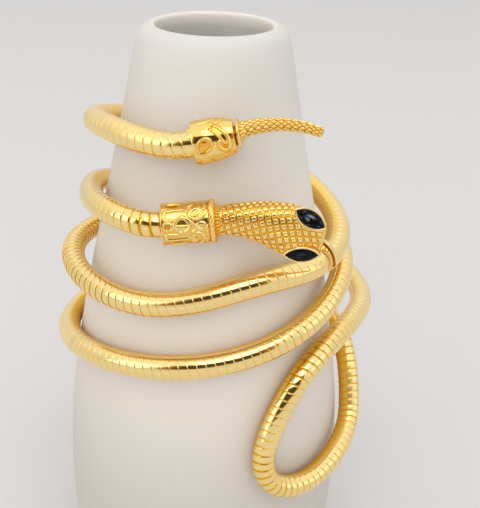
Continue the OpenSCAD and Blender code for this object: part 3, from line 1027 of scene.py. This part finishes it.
@dataclass
class HeadCap:
    """Cast sleeve between the chain and the head, with scrolls, a rope ring and a fluted collar."""

    course: Course
    length: float = 14.0
    radius: float = 5.55
    rope_radius: float = 5.2
    rope_height: float = 0.62
    sides: int = 360
    face_turn: float = 244.5
    flutes: int = 14
    collar: Table = (
        (4.75, 0.04, 0, 0.6), (4.5, 0.2, 0.14, 0.9), (4.3, 0.42, 0.24, 1), (4.12, 0.7, 0.26, 1),
        (3.98, 1.0, 0.24, 1), (3.84, 1.2, 0.12, 1), (3.3, 1.26, 0, 1), (1.2, 1.26, 0, 1),
    )  # fmt: skip

    def ornament(self) -> Ornament:
        """Scrollwork of the side that faces the viewer, in distances along the cap and round it, upwards."""
        panel = [(2.9, 0.8), (1.3, 0.85), (0.85, 1.4), (0.85, 2.7), (1.3, 3.4), (4, 3.55), (6.4, 3.6), (7, 3.1)]
        ring = [(0.5, -0.8), (1.1, 0.15), (2.1, 0.3), (3.2, -0.4), (2.9, -1.3), (2, -1.95), (1, -1.8)]
        almond = [(3.4, -0.7), (4, 0.7), (5.2, 1.6), (6.5, 1.2), (7.9, -0.4), (7, -1.9), (5.6, -2.7), (4.2, -2.2)]
        ribbon = [(5.6, 1.65), (6.8, 1.15), (7.9, 0.2), (8.8, -0.9), (9.9, -1.7), (11.2, -1.75), (12.1, -1.2)]
        scroll = [
            (9.7, 3.8), (8.6, 3.6), (7.7, 2.9), (7.4, 2), (7.9, 1.2), (9, 0.85), (10.3, 1), (11.3, 1.75), (12, 3.1),
        ]  # fmt: skip
        hook = [(9.6, 3.2), (9, 2.7), (8.6, 2.1), (8.9, 1.7), (9.6, 1.95), (10.1, 2.7), (10.9, 3.6)]
        arch = [(8.2, -2.4), (8.9, -1.95), (9.8, -1.75), (10.9, -2), (12, -2.7)]
        coil = [(8.7, -4.3), (9.4, -4.6), (9.9, -4.1), (9.5, -3.5), (8.6, -3.4), (8, -3.9), (8.1, -4.9), (9, -5.5)]
        sweep = [(8.6, -2.9), (9.8, -2.75), (10.8, -3.4), (11.1, -4.6), (10.8, -5.8), (10, -6.8)]
        lower = [
            (4.1, -3.1), (1.4, -2.8), (0.95, -3.3), (1.05, -4.2), (1.6, -4.7), (4.4, -4.6), (7.2, -4.5),
            (7.6, -3.8),
        ]  # fmt: skip
        leaves = [
            [(10.1, 3.4), (10.2, 4.6), (9.9, 6)], [(11.2, 3.6), (11.4, 4.8), (11.2, 6.2)],
            [(7.4, 4.6), (8.2, 5.4), (8.3, 6.6)], [(7.8, -5.2), (8.4, -6), (8.4, -7)],
            [(11.8, -4.6), (11.7, -5.8), (11.2, -7)],
        ]  # fmt: skip
        veins = [[(3.9 + 0.55 * i, -0.9 - 0.1 * i), (4.5 + 0.55 * i, -1.75 + 0.12 * i)] for i in range(5)]
        lines = [Line(spline(r, 90)) for r in (panel, ribbon, scroll, arch, sweep, lower)]
        lines += [Line(loop_spline(r, 120)) for r in (ring, almond)]
        lines += [Line(spline(r, 70), 0.32, 0.3) for r in (hook, coil)]
        lines += [Line(spline(r, 30), 0.4, 0.32) for r in leaves]
        lines += [Line(np.linspace(r[0], r[1], 14), 0.15, 0.14) for r in veins]
        lines += [Line(np.linspace((3.8, -0.6), (7.2, -0.7), 40), 0.16, 0.16)]
        ovals = (
            Oval((3.2, 5.6), (2.2, 1.15), -0.34), Oval((4, -6.5), (2.2, 1.0), -0.34),
            Oval((10.4, -0.5), (1.35, 0.75), 0.3, 4), Oval((1.8, -0.8), (1.0, 0.75), -0.16),
            Oval((5.5, -1.3), (1.8, 1.0), 0.1),
        )  # fmt: skip
        return Ornament(tuple(lines), ovals)

    def build(self, finish: Material) -> None:
        """Makes the cap as one lathe: socket, rim, barrel with its relief, rope ring and fluted collar.

        A row of the collar's table has a radius, a distance past the cap's end, the depth of the flutes and a mark
        for their painted shade.
        """
        start, end = 0.34, self.length - 1.66
        inside = [*SOCKET, (3.78, 0.02)]
        rim = [(5.5, 0), (5.74, 0.04), (5.84, 0.14), (5.84, 0.24), (5.72, 0.31)]
        barrel = [(self.radius, z) for z in np.linspace(start, end, 124)]
        roped = [(self.rope_radius, z) for z in np.linspace(self.length - 1.58, self.length - 0.04, 36)]
        collar = [(r, self.length + z) for r, z, _, _ in self.collar]
        outline = np.array([*inside, *rim, *barrel, *roped, *collar], float)
        z, w, up = cap_grid(outline, self.sides, self.face_turn)
        relief, hollow = np.zeros((2, *z.shape))
        # Painted shade inside the socket, then on the relief, between the rope's strands and in the flutes.
        hollow[: len(inside)] = 0.8
        a, b, c, _ = np.cumsum([len(inside) + len(rim), len(barrel), len(roped), len(collar)])
        relief[a:b], hollow[a:b] = self.ornament().over(z[a:b], up[a:b] * self.radius)
        relief[a:b] *= ease(0.0, 0.5, z[a:b] - start) * ease(0.0, 0.3, end - z[a:b])
        twist = Rope(self.length - 0.81).over(z[b:c], w[b:c])
        relief[b:c] = self.rope_height * twist
        hollow[b:c] = np.clip(1.1 - 1.3 * twist, 0, 1)
        between = 1 - np.abs(np.sin(self.flutes * w[c:]))
        depth, mark = np.array(self.collar).T[2:, :, None]
        relief[c:] = -depth * between
        hollow[c:] = (0.35 + 0.65 * between) * mark
        skin = Skin.lathe(outline, self.sides, relief, hollow)
        skin = skin.seated(Seat.along(self.course.head_at, self.course.head_way))
        skin.hand_over("head_sleeve", finish, Slot.CAST, ["head_cap"], Shading.SMOOTH)


@dataclass
class TailCap:
    """Cast tapered sleeve with an oval ring, a comma scroll, leaf lines and a row of little panels."""

    course: Course
    sides: int = 360
    face_turn: float = 252.0
    shape: Table = (
        (5.62, 0.0), (5.78, 0.5), (5.8, 2), (5.76, 3.6), (5.6, 5.4), (5.3, 7.2), (4.9, 8.8), (4.45, 10),
        (4.2, 10.55),
    )  # fmt: skip
    end: Table = ((4.05, 10.6), (3.6, 10.6), (1.5, 10.6))
    tab: Table = ((4.5, -0.95), (5.0, -1), (5.1, -0.9), (5.1, 0.1), (4.4, 0.1), (4.4, -0.85))
    tab_span: Pair = (-52, -20)

    def ornament(self) -> Ornament:
        """Ornament of the side that faces the viewer, in distances along the cap and round it, upwards."""
        oval = [
            (1.1, -1.9), (1.2, -0.5), (2.3, 0.7), (3.8, 1), (5, 0.2), (5, -1.1), (4.1, -2.3), (2.5, -3),
            (1.5, -2.8),
        ]  # fmt: skip
        comma = [
            (7, -0.5), (6.6, -1.5), (7.1, -2.7), (8, -3.2), (9, -2.9), (9.5, -1.9), (9.4, -0.6), (8.9, 0.7),
            (8, 1.9), (6.8, 3.3), (5.2, 4.6),
        ]  # fmt: skip
        inner = [(5.1, 3), (6.4, 1.5), (7.4, 0.3), (7.9, -1), (8.3, -1.7), (8.6, -1.1)]
        chevron = [(4.7, 3.1), (6.4, 4.1), (7.9, 5.2), (8.8, 6.4)]
        side_line = [(2.2, 5.2), (4, 5.4), (5.8, 6.2)]
        lines = [
            Line(loop_spline(oval, 160), 0.24, 0.2),
            Line(spline(comma, 160), 0.36, 0.28),
            Line(spline(inner, 90), 0.3, 0.24),
            Line(spline(chevron, 60), 0.28, -0.18),
            Line(spline(side_line, 40), 0.32, -0.18),
        ]
        for z0, z1, low, high in ((1.2, 4.2, -5.9, -4.7), (4.6, 7.4, -5.5, -4.3), (7.7, 9.3, -4.9, -4)):
            corners = [(z0, low), (z1, low), (z1, high), (z0, high), (z0, low)]
            panel = np.vstack([np.linspace(p, q, 24) for p, q in zip(corners[:-1], corners[1:])])
            lines.append(Line(panel, 0.2, 0.2))
        ovals = [Oval((3.1, -1), (1.95, 1.85), -0.16, 30), Oval((8.1, -1.9), (0.9, 0.9), -0.15)]
        for start, across in ((1.8, -5.3), (5.2, -4.9)):
            ovals += [Oval((start + 0.55 * i, across), (0.3, 0.34), 0.14) for i in range(4)]
        return Ornament(tuple(lines), tuple(ovals))

    def build(self, finish: Material) -> None:
        """Makes the cap as one lathe with its relief, and the small tab beside its mouth."""
        body = spline(self.shape, 118)
        inside = [*SOCKET, (3.8, 0.02), (5.4, -0.02)]
        outline = np.array([*inside, *body, *self.end], float)
        z, _, up = cap_grid(outline, self.sides, self.face_turn)
        relief, hollow = np.zeros((2, *z.shape))
        a, b = len(inside), len(inside) + len(body)
        relief[a:b], hollow[a:b] = self.ornament().over(z[a:b], up[a:b] * outline[a:b, :1])
        # Painted shade inside the socket.
        hollow[:a] = 0.8
        w = np.radians(np.linspace(*(self.face_turn + side for side in self.tab_span), 14))[:, None]
        r, height = np.array(self.tab).T[:, None]
        skin = Skin.joined([Skin.lathe(outline, self.sides, relief, hollow), Skin.tube(polar(r, w, height))])
        skin = skin.seated(Seat.along(self.course.tail_at, self.course.tail_way))
        skin.hand_over("tail_sleeve", finish, Slot.CAST, ["tail_cap"], Shading.SMOOTH)


# The head


@dataclass
class SnakeHead:
    """Flattened viper's head covered in square studs, with two bezels and a hook under its nose.

    A row of sections has a distance from the neck, half the width, the height of the back and of the belly, and the
    middle's shift. A row of eyes has a distance from the neck, one across, and the turns about Z and X. The eyes'
    level is a shift across and a height. The head's own turns are about Z, Y and X.
    """

    course: Course
    cap_length: float = 14.0
    stud: float = 1.76
    stud_height: float = 0.42
    lattice_height: float = 0.06
    stud_lean: float = 26.0
    stud_phase: Pair = (-0.55, 0.42)
    droop_from: float = 12.0
    droops: Pair = (-0.008, -0.017)
    widest: float = 18.0
    sections: Table = (
        (-1.6, 3.45, 3.25, 3.05, -0.2), (0, 3.6, 3.4, 3.2, 0.2), (2.2, 3.85, 3.6, 3.2, 0.8),
        (6.5, 4.15, 4.1, 3.1, 2.15), (12, 5.2, 4.5, 3, 2.65), (16, 6.05, 4.6, 2.9, 2.4),
        (19.5, 6.8, 4.4, 2.8, 1.9), (22.5, 7, 3.9, 2.7, 1.5), (25, 6.5, 3.3, 2.4, 1.4), (27, 5.5, 2.6, 2, 1.3),
        (28.2, 4.3, 2, 1.6, 1.3), (28.8, 2.8, 1.3, 1.1, 1.3),
    )  # fmt: skip
    eyes: Table = ((23.4, 4.9, -18, -16), (23.7, -4.7, 12, 25))
    eye_size: Pair = (8.5, 4.0)
    eye_level: Pair = (1.6, 3.0)
    # Brightness of the painted glint on each stone.
    glints: Pair = (0.9, 0.12)
    turns: Place = (-2, 11.5, 76)
    # The third column is the hollow mark, painted as shade.
    bezel_rows: Table = (
        (0.62, -1.9, 0.6), (0.60, -0.5, 0.5), (0.60, 0.1, 0.1), (0.57, 0.26, 0), (0.49, 0.38, 0), (0.38, 0.43, 0),
        (0.26, 0.43, 0), (0.15, 0.38, 0), (0.08, 0.28, 0.2), (0.06, 0.1, 0.8), (0.06, -0.85, 1.0),
    )  # fmt: skip
    hook_line: Table = (
        (26.6, 0.7, 0.2), (28.9, -0.1, 0.7), (30.3, -0.8, 0.5), (31.6, -1.8, -0.3), (32.8, -3.2, -1.5),
        (33.9, -4.9, -3.2), (34.55, -6.3, -4.8), (34.75, -7.6, -6.7),
    )  # fmt: skip
    hook_section: Table = (
        (-1, -0.45, 0.5, 0, 0), (-1.04, 0, 0.2, 0, 0), (-0.98, 0.26, 0, 0, 0), (-0.88, 0.32, 0, 0, 0),
        (-0.78, 0.2, 0.3, 0, 0), (-0.72, -0.1, 0.9, 0, 1), (-0.45, -0.3, 0.8, 0.9, 1), (-0.1, -0.35, 0.8, 1, 1),
        (0.2, -0.35, 0.9, 0.7, 1), (0.34, -0.42, 1, 0, 1), (0.42, -0.3, 1, 0, 1), (0.46, 0.2, 0.6, 0, 1),
        (0.54, 0.52, 0, 0, 0), (0.7, 0.68, 0, 0, 0), (0.88, 0.56, 0, 0, 0), (1.02, 0.2, 0.1, 0, 0),
        (1, -0.3, 0.4, 0, 0), (0.6, -0.8, 0.6, 0, 0), (0, -1, 0.6, 0, 0), (-0.6, -0.8, 0.6, 0, 0),
    )  # fmt: skip
    hook_faces: Row = (0.1, 0.3, 0.95)
    bead: float = 1.3

    def __post_init__(self) -> None:
        """Finds the head's seat at the end of its cap."""
        at = self.course.head_at + self.course.head_way * self.cap_length
        z, y, x = (Seat.about(axis, angle) for axis, angle in zip("zyx", self.turns))
        self.seat = Seat(at, z @ y @ x)

    def surface(self, x: Array, angle: Array, lift: Array | float = 0.0) -> Array:
        """Point of the head: (x, shift + (half + lift) cos a, (height + lift) sgn(sin a) |sin a|^0.8).

        The height is the back's above the middle and the belly's below it.

        Args:
            x: Distance from the neck, a column of values.
            angle: Angle round the section in radians, a row of values.
            lift: Height over the plain surface.

        Returns:
            Points as sections x angles x 3.
        """
        table = np.array(self.sections, float)
        dense = smooth_rows(table, np.linspace(0, len(table) - 1, 400))
        half, back, belly, shift = (np.interp(x, dense[:, 0], dense[:, c]) for c in (1, 2, 3, 4))
        height = np.where(np.sin(angle) > 0, back, belly)
        flat = np.sign(np.sin(angle)) * np.abs(np.sin(angle)) ** 0.8
        y = shift + (half + lift) * np.cos(angle)
        return np.stack([np.broadcast_to(x, y.shape), y, (height + lift) * flat], -1)

    def studs(self, x: Array, across: Array) -> tuple[Array, Array]:
        """Square studs on a net that leans to the head's axis and levels out towards the nose.

        Args:
            x: Distance of each corner from the neck.
            across: Its distance over the surface from the head's middle line, upwards.

        Returns:
            The height of each corner and how hollow it lies, painted as shade on the studs' flanks and less on the
            net.
        """
        c, s = math.cos(math.radians(self.stud_lean)), math.sin(math.radians(self.stud_lean))
        u = c * x + s * across
        droop = np.where(u < self.droop_from, *self.droops) * (u - self.droop_from) ** 2
        v = c * across - s * x - droop
        du, dv = (np.abs((a / self.stud + phase + 0.5) % 1 - 0.5) for a, phase in zip((u, v), self.stud_phase))
        m = (du**8 + dv**8) ** (1 / 8)
        top = (1 - ease(0.29, 0.42, m)) * (1 - 0.3 * (m / 0.35) ** 2)
        net = ease(0.43, 0.47, m)
        height = self.stud_height * top + self.lattice_height * net
        # Painted shade on the flanks of the studs, less on the raised net.
        hollow = np.clip(ease(0.3, 0.42, m) - 0.72 * net, 0, 1)
        return height, hollow

    def body(self) -> Skin:
        """The studded head: a grid of sections and angles, its corners spread evenly round the widest section."""
        fine = np.radians(np.linspace(-90, 270, 2001))
        reach = reach_along(self.surface(np.array([[self.widest]]), fine[None, :])[0])
        columns = 300
        angle = np.interp(np.arange(columns) / columns * reach[-1], reach, fine)[None, :]
        x = np.concatenate([np.linspace(-0.9, 28.2, 256), [28.4, 28.6, 28.74, 28.79]])[:, None]
        plain = self.surface(x, angle)
        reach = reach_along(plain)
        crest = int(np.abs(angle[0] - np.pi / 2).argmin())
        across = plain[:, crest : crest + 1, 1] + reach[:, crest : crest + 1] - reach
        height, hollow = self.studs(np.broadcast_to(x, across.shape), across)
        fade = ease(-0.2, 1.3, x) * (1 - ease(27.6, 28.4, x)) * self.clear_of_eyes(plain)
        rings = self.surface(x, angle, height * fade)
        nose = rings[-1]
        middle = nose.mean(0)
        closing = [middle + (nose - middle) * k + np.array([d, 0, 0]) for k, d in ((0.75, 0.1), (0.35, 0.15))]
        rings = np.concatenate([rings, np.stack(closing)])
        marks = np.vstack([hollow * fade, np.zeros((2, columns))])
        return Skin.tube(rings, marks).seated(self.seat)

    def clear_of_eyes(self, plain: Array) -> Array:
        """How clear of the bezels the head's points lie: 0 within half a millimetre of one, 1 beyond a millimetre.

        Args:
            plain: Points of the head in its own frame.

        Returns:
            One share for each point.
        """
        width = self.eye_size[1]
        r = self.arc(*self.eye_size)
        clear = np.ones(plain.shape[:-1])
        for eye in self.eyes:
            at, turn = self.eye_place(eye)
            x, y, z = np.moveaxis((plain - at) @ turn, -1, 0)
            beside = np.hypot(x, np.abs(y) + r - width / 2) - r
            clear = np.minimum(clear, np.where(z > -3.5, ease(0.5, 1.0, beside), 1))
        return clear

    def eye_place(self, eye: Row) -> tuple[Array, Array]:
        """Middle and turn of one eye in the head's own frame, its Z pointing out of the head."""
        shift, height = self.eye_level
        return np.array([eye[0], shift + eye[1], height]), Seat.about("z", eye[2]) @ Seat.about("x", eye[3])

    def eye_seat(self, eye: Row) -> Seat:
        """Seat of one eye on the stand."""
        return self.seat.inner(*self.eye_place(eye))

    @staticmethod
    def arc(length: float, width: float) -> float:
        """Radius of the two arcs of a pointed oval: (l^2 + w^2) / 4w."""
        return (length**2 + width**2) / (4 * width)

    def marquise(self, grow: float, count: int, height: float) -> Array:
        """Pointed oval of an eye.

        Args:
            grow: Margin by which it is larger than the stone.
            count: Number of its points, from tip to tip and back.
            height: Height of them all.

        Returns:
            The points, count x 3.
        """
        length, width = self.eye_size[0] + 2.6 * grow, self.eye_size[1] + 2 * grow
        r = self.arc(length, width)
        half = math.asin(length / 2 / r)
        a = np.linspace(half, -half, count // 2, endpoint=False)
        top = np.stack([r * np.sin(a), r * np.cos(a) - r + width / 2], 1)
        return np.hstack([np.vstack([top, -top]), np.full((count, 1), height)])

    def bezels(self) -> list[Skin]:
        """A thin round-topped rim round each eye: rows of margin, height and hollow mark of painted shade carried
        round the oval.
        """
        count = 128
        rings = np.stack([self.marquise(grow, count, height) for grow, height, _ in self.bezel_rows])
        hollow = np.array(self.bezel_rows)[:, 2:]
        return [Skin.tube(rings, hollow).seated(self.eye_seat(eye)) for eye in self.eyes]

    def hook(self) -> Skin:
        """Bent strip under the nose: a channel with a high outer wall, a beaded floor and a closed end.

        A corner is the line's point + w times the sideways direction + n times the face direction, and the section
        shrinks from the root to a rounded tip. A row of the section's table has a place across and out, a hollow
        mark for painted shade, a share of the beads, and whether it fills up where the end closes.
        """
        count = 150
        t = np.linspace(0, 1, count)[:, None]
        line = spline(self.hook_line, count)
        way = unit(np.gradient(line, axis=0))
        face = unit(self.hook_faces - way * (way @ self.hook_faces)[:, None])
        side = np.cross(face, way)
        across, out, base, beaded, closes = np.array(self.hook_section).T
        width = np.interp(t, [0, 0.25, 0.55, 0.85, 0.95, 1], [1.8, 1.8, 1.5, 1.35, 1.15, 0.35])
        thick = np.interp(t, [0, 0.3, 0.9, 1], [0.95, 0.8, 0.7, 0.25])
        beads = 0.34 * np.abs(np.sin(np.pi * reach_along(line) / self.bead))[:, None] * beaded
        closed = ease(0.9, 0.97, t) * closes
        w = width * across
        n = thick * (out * (1 - closed) + 0.6 * closed) + beads * (1 - closed)
        rings = line[:, None] + w[..., None] * side[:, None] + n[..., None] * face[:, None]
        # Painted shade in the channel, kept off the beads.
        hollow = np.clip(base * (1 - closed) - 2.8 * beads, 0, 1)
        return Skin.tube(rings, hollow).seated(self.seat)

    def stone(self, eye: Row, glint: float) -> Skin:
        """Faceted stone: rings of the pointed oval, each with its scale, height and whether it is half a facet on.

        Args:
            eye: Row of the eyes table.
            glint: How bright the painted glint on its table is.

        Returns:
            The closed skin, its painted glint in the hollow marks.
        """
        count = 28
        levels = [
            (0.55, -0.85, 0), (0.985, -0.12, 0), (0.985, 0.3, 0), (0.83, 0.56, 1), (0.64, 0.74, 0), (0.6, 0.76, 0),
            (0.5, 0.765, 0), (0.4, 0.77, 0), (0.24, 0.775, 0), (0.1, 0.78, 0),
        ]  # fmt: skip
        plain = self.marquise(0, count, 0)
        halfway = (plain + np.roll(plain, -1, axis=0)) / 2
        rings = np.stack([(halfway if turned else plain) * k + np.array([0, 0, z]) for k, z, turned in levels])
        j = np.arange(count)
        wide = np.clip(np.sin(np.pi * (j - 2) / 12), 0, 1) * (j < 14)
        lobes = wide + 0.75 * np.clip(np.sin(np.pi * (j - 14) / 7), 0, 1) * (j >= 14)
        marks = np.zeros((len(levels), count))
        # Painted glint on the table and on a few crown facets.
        marks[6:9] = np.array([[0.3], [0.9], [1.0]]) * glint * lobes
        marks[3] = glint * 0.25 * (j % 5 == 1)
        return Skin.tube(rings, marks).seated(self.eye_seat(eye))

    def build(self, cast: Material, rim: Material, stone: Material) -> None:
        """Makes the head, its bezels, its hook and the two stones."""
        self.body().hand_over("studded_head", cast, Slot.CAST, ["snake_head"], Shading.ROUND)
        Skin.joined(self.bezels()).hand_over("eye_bezels", rim, Slot.CAST, ["snake_head"], Shading.SMOOTH)
        self.hook().hand_over("nose_hook", rim, Slot.CAST, ["snake_head"], Shading.SMOOTH)
        for eye, side, glint in zip(self.eyes, ("upper", "lower"), self.glints):
            skin = self.stone(eye, glint)
            skin.hand_over(f"marquise_stone_{side}", stone, Slot.STONE, [f"eye_stone_{side}"], Shading.FACETED)


# The tail


@dataclass
class Tail:
    """Flange and curved taper with raised lozenge scales and a round tip."""

    course: Course
    cap_length: float = 10.6
    gap: float = 0.1
    flange: float = 1.8
    sunk: float = 0.7
    length: float = 21.4
    rise: float = 21.0
    bend: float = 43.0
    lift: float = 1.1
    radii: Pair = (1.86, 1.08)
    tip: float = 0.035
    scales: tuple[int, int] = (8, 23)
    scale_height: float = 0.26
    flutes: int = 8
    root_rows: Table = (
        (0.6, -2.4, 0, 1), (2.4, -2.4, 0, 1), (2.5, -2.3, 0, 1), (2.5, 0.42, 0, 1), (3.4, 0.45, 0, 0.3),
        (3.72, 0.5, 0, 0), (3.86, 0.6, 0, 0), (3.88, 0.75, 0, 0), (3.78, 0.95, 0, 0), (3.5, 1.12, 0.04, 0),
        (3.1, 1.3, 0.16, 0), (2.7, 1.55, 0.22, 0), (2.35, 1.85, 0.2, 0), (2.1, 2.2, 0.14, 0),
        (1.9, 2.5, 0.05, 0), (0.6, 2.6, 0, 0),
    )  # fmt: skip

    def middle(self, t: Array) -> tuple[Array, Array]:
        """Arc of the tail: from its root it climbs at the angle rise and bends down by the angle bend.

        Args:
            t: Places from 0 at the root to 1 at the tip.

        Returns:
            Points, and the slope there in radians.
        """
        r = self.length / math.radians(self.bend)
        slope = np.radians(self.rise - self.bend * t)
        first = math.radians(self.rise)
        ahead = self.cap_length + self.gap + self.flange - self.sunk
        root = self.course.tail_at + self.course.tail_way * ahead + np.array([0, 0, self.lift])
        along, up = r * (math.sin(first) - np.sin(slope)), r * (np.cos(slope) - math.cos(first))
        return root + np.stack([along, np.zeros(slope.shape), up], -1), slope

    def taper(self) -> Skin:
        """Scaled taper: soft pyramids in cells of the net q + p / 2, q - p / 2, where q goes round and p along it."""
        rings, sides = 300, 112
        t = np.linspace(0, 1, rings)
        centre, slope = self.middle(t)
        q = (np.arange(sides) / sides * self.scales[0])[None, :]
        p = (t * self.scales[1])[:, None]
        a, b = (q + p / 2) % 1 - 0.5, (q - p / 2) % 1 - 0.5
        m = np.maximum(np.abs(a), np.abs(b))
        height = self.scale_height * (1 - ease(0.14, 0.47, m)) * ease(0, 0.03, t)[:, None]
        round_off = np.sqrt(np.clip(1 - (np.clip(t - 1 + self.tip, 0, 1) / self.tip) ** 2, 0.02, 1))
        r = (np.interp(t, [0, 1], self.radii)[:, None] + height) * round_off[:, None]
        w = full_turn(sides)[None, :, None]
        up = np.stack([-np.sin(slope), np.zeros(rings), np.cos(slope)], -1)[:, None]
        corners = centre[:, None] + r[..., None] * (np.cos(w) * up + np.sin(w) * np.array([0, -1, 0]))
        # Painted shade between the scales.
        return Skin.tube(corners, ease(0.3, 0.5, m))

    def root(self) -> Skin:
        """Plug, groove, flange and fluted cone in front of the cap, which leans back the farther it stands out.

        A row of its table has a radius, a height, the depth of the flutes and a hollow mark for painted shade, to
        which the floors of the deeper flutes add.
        """
        sides = 180
        rows = np.array(self.root_rows)
        depth = rows[:, 2:3]
        between = 1 - np.abs(np.sin(self.flutes * full_turn(sides)))
        skin = Skin.lathe(rows[:, :2], sides, -depth * between, rows[:, 3:] + (depth > 0.1) * between)
        skin.points[:, 0] -= np.interp(skin.points[:, 2], [0.4, 1.4, 2.6], [0.0, 0.75, 1.1])
        at = self.course.tail_at + self.course.tail_way * (self.cap_length + self.gap)
        return skin.seated(Seat.along(at, self.course.tail_way))

    def build(self, finish: Material) -> None:
        """Makes the tail as one piece."""
        skin = Skin.joined([self.root(), self.taper()])
        skin.hand_over("scaled_tail", finish, Slot.CAST, ["tail"], Shading.SMOOTH)


# The studio


@dataclass(frozen=True)
class Lamp:
    """A soft square lamp: what it is for, where it hangs, its size in metres, and how bright its face is."""

    name: str
    at: Place
    size: Pair
    radiance: float
    colour: Colour = (1.0, 0.985, 0.96)

    def build(self, target: Place) -> None:
        """Makes the lamp, turned to the target. Its power is radiance x area x pi, for Blender's square lamps."""
        data = bpy.data.lights.new(self.name, "AREA")
        data.shape = "RECTANGLE"
        data.size, data.size_y = self.size
        data.energy = self.radiance * self.size[0] * self.size[1] * math.pi
        data.color = self.colour
        lamp = placed(self.name, data)
        lamp.location = self.at
        lamp.rotation_euler = (Vector(target) - Vector(self.at)).to_track_quat("-Z", "Y").to_euler()


@dataclass(frozen=True)
class Studio:
    """Light tent with a pale floor, soft lamps, and the dark front where the photographer stands, in metres."""

    tent_side: float = 0.76
    tent_top: float = 1.02
    tent_zone: Pair = (0.1, 0.95)
    tent_tone: Colour = (1.0, 0.99, 0.985)
    lamps: tuple[Lamp, ...] = (
        Lamp("overhead_softbox", (0.15, -1.1, 2.45), (1.95, 1.58), 1.4),
        Lamp("left_softbox", (-2.1, -0.92, 1.24), (1.3, 1.6), 0.95),
        Lamp("front_fill", (-0.36, -1.86, 1.24), (2.2, 0.8), 1.3),
        Lamp("right_fill", (2.1, -0.6, 0.95), (1.2, 1.3), 0.4),
    )
    target: Place = (0.0, 0.0, 0.13)
    floor_rings: Row = (0.3, 1.2, 3.0, 6.0)
    card_radius: float = 0.62
    card_height: float = 0.14
    card_across: Pair = (-42, 37)
    card_up: Pair = (14, 46)
    card_tones: tuple[Colour, Colour] = ((0.50, 0.26, 0.004), (0.035, 0.018, 0.001))
    camera_at: Place = (0, -0.204, 0.2443)
    camera_down: float = 29.1
    camera_roll: float = 1.5
    camera_lens: float = 49.96
    camera_shift: float = 0.063

    def floor(self, finish: Material) -> None:
        """Round floor: rings of corners at growing radii, joined to the middle."""
        sides, count = 96, len(self.floor_rings)
        rings = polar(np.array(self.floor_rings)[:, None], full_turn(sides), 0.0)
        points = np.vstack([rings.reshape(-1, 3), np.zeros(3)])
        j = np.arange(sides)
        fan = np.stack([np.full(sides, count * sides), j, (j + 1) % sides], 1)
        faces = weave(count, sides)[:, ::-1].tolist() + fan.tolist()
        sheet = placed("floor", new_mesh("floor", points, faces, finish))

    def dark_front(self) -> None:
        """Curved card round the camera, amber at its border and dark within, which only polished metal mirrors."""
        material, w, shader = new_finish("dark_card")
        w.feed(shader, {"Base Color": w.blend(w.mark("within"), *self.card_tones), "Roughness": 0.9})
        rows, columns = 25, 41
        across = np.radians(np.linspace(*self.card_across, columns))[None, :]
        up = np.radians(np.linspace(*self.card_up, rows))[:, None]
        x = self.card_radius * np.sin(across) * np.cos(up)
        y = -self.card_radius * np.cos(across) * np.cos(up)
        z = self.card_height + self.card_radius * np.sin(up) * np.ones((1, columns))
        faces = weave(rows, columns, closed=False).tolist()
        mesh = new_mesh("dark_front", np.stack([x, y, z], -1).reshape(-1, 3), faces, material)
        row, column = np.arange(rows)[:, None], np.arange(columns)[None, :]
        beside = ease(0, 8, np.minimum(column, columns - 1 - column))
        mark_points(mesh, "within", ease(0, 6, row) * ease(0, 2, rows - 1 - row) * beside)
        card = placed("dark_front", mesh)
        card.visible_camera = card.visible_diffuse = card.visible_shadow = False

    def camera(self) -> None:
        """Camera fitted to the photograph: turned down, rolled a little, and shifted for its framing."""
        data = bpy.data.cameras.new("camera")
        data.lens, data.sensor_width, data.shift_x = self.camera_lens, 36.0, self.camera_shift
        data.clip_start, data.clip_end = 0.01, 50
        camera = placed("camera", data)
        camera.location = self.camera_at
        turn = Seat.about("x", 90 - self.camera_down) @ Seat.about("z", self.camera_roll)
        camera.rotation_euler = Matrix(turn.tolist()).to_euler()
        bpy.context.scene.camera = camera

    def build(self, paper: Material) -> None:
        """Sets the world, brighter overhead, the floor, the dark front, the lamps and the camera."""
        world = bpy.data.worlds.new("tent")
        world.use_nodes = True
        w = Wiring(world.node_tree)
        way = w.apart(w.node("ShaderNodeTexCoord").outputs["Generated"])
        fall = w.rise(way["Z"], *self.tent_zone, self.tent_side, self.tent_top)
        w.feed(world.node_tree.nodes["Background"], {"Color": self.tent_tone, "Strength": fall})
        bpy.context.scene.world = world
        bpy.context.scene.view_settings.view_transform = "Standard"
        self.floor(paper)
        self.dark_front()
        for lamp in self.lamps:
            lamp.build(self.target)
        self.camera()


def main() -> None:
    """Builds every piece in order."""
    logging.basicConfig(level=logging.INFO, format="%(name)s: %(message)s")
    Studio().build(PaperFinish().build())
    course = Course()
    LOG.info("chain: %.1f mm long", course.length)
    chain_gold, cast_gold, bright_gold, rim_gold = (plate.build() for plate in GOLD_PLATES)
    Stand().build(CeramicFinish().build())
    SnakeChain(course).build(chain_gold)
    HeadCap(course).build(cast_gold)
    SnakeHead(course).build(cast_gold, rim_gold, StoneFinish().build())
    TailCap(course).build(bright_gold)
    Tail(course).build(cast_gold)


if __name__ == "__main__":
    main()
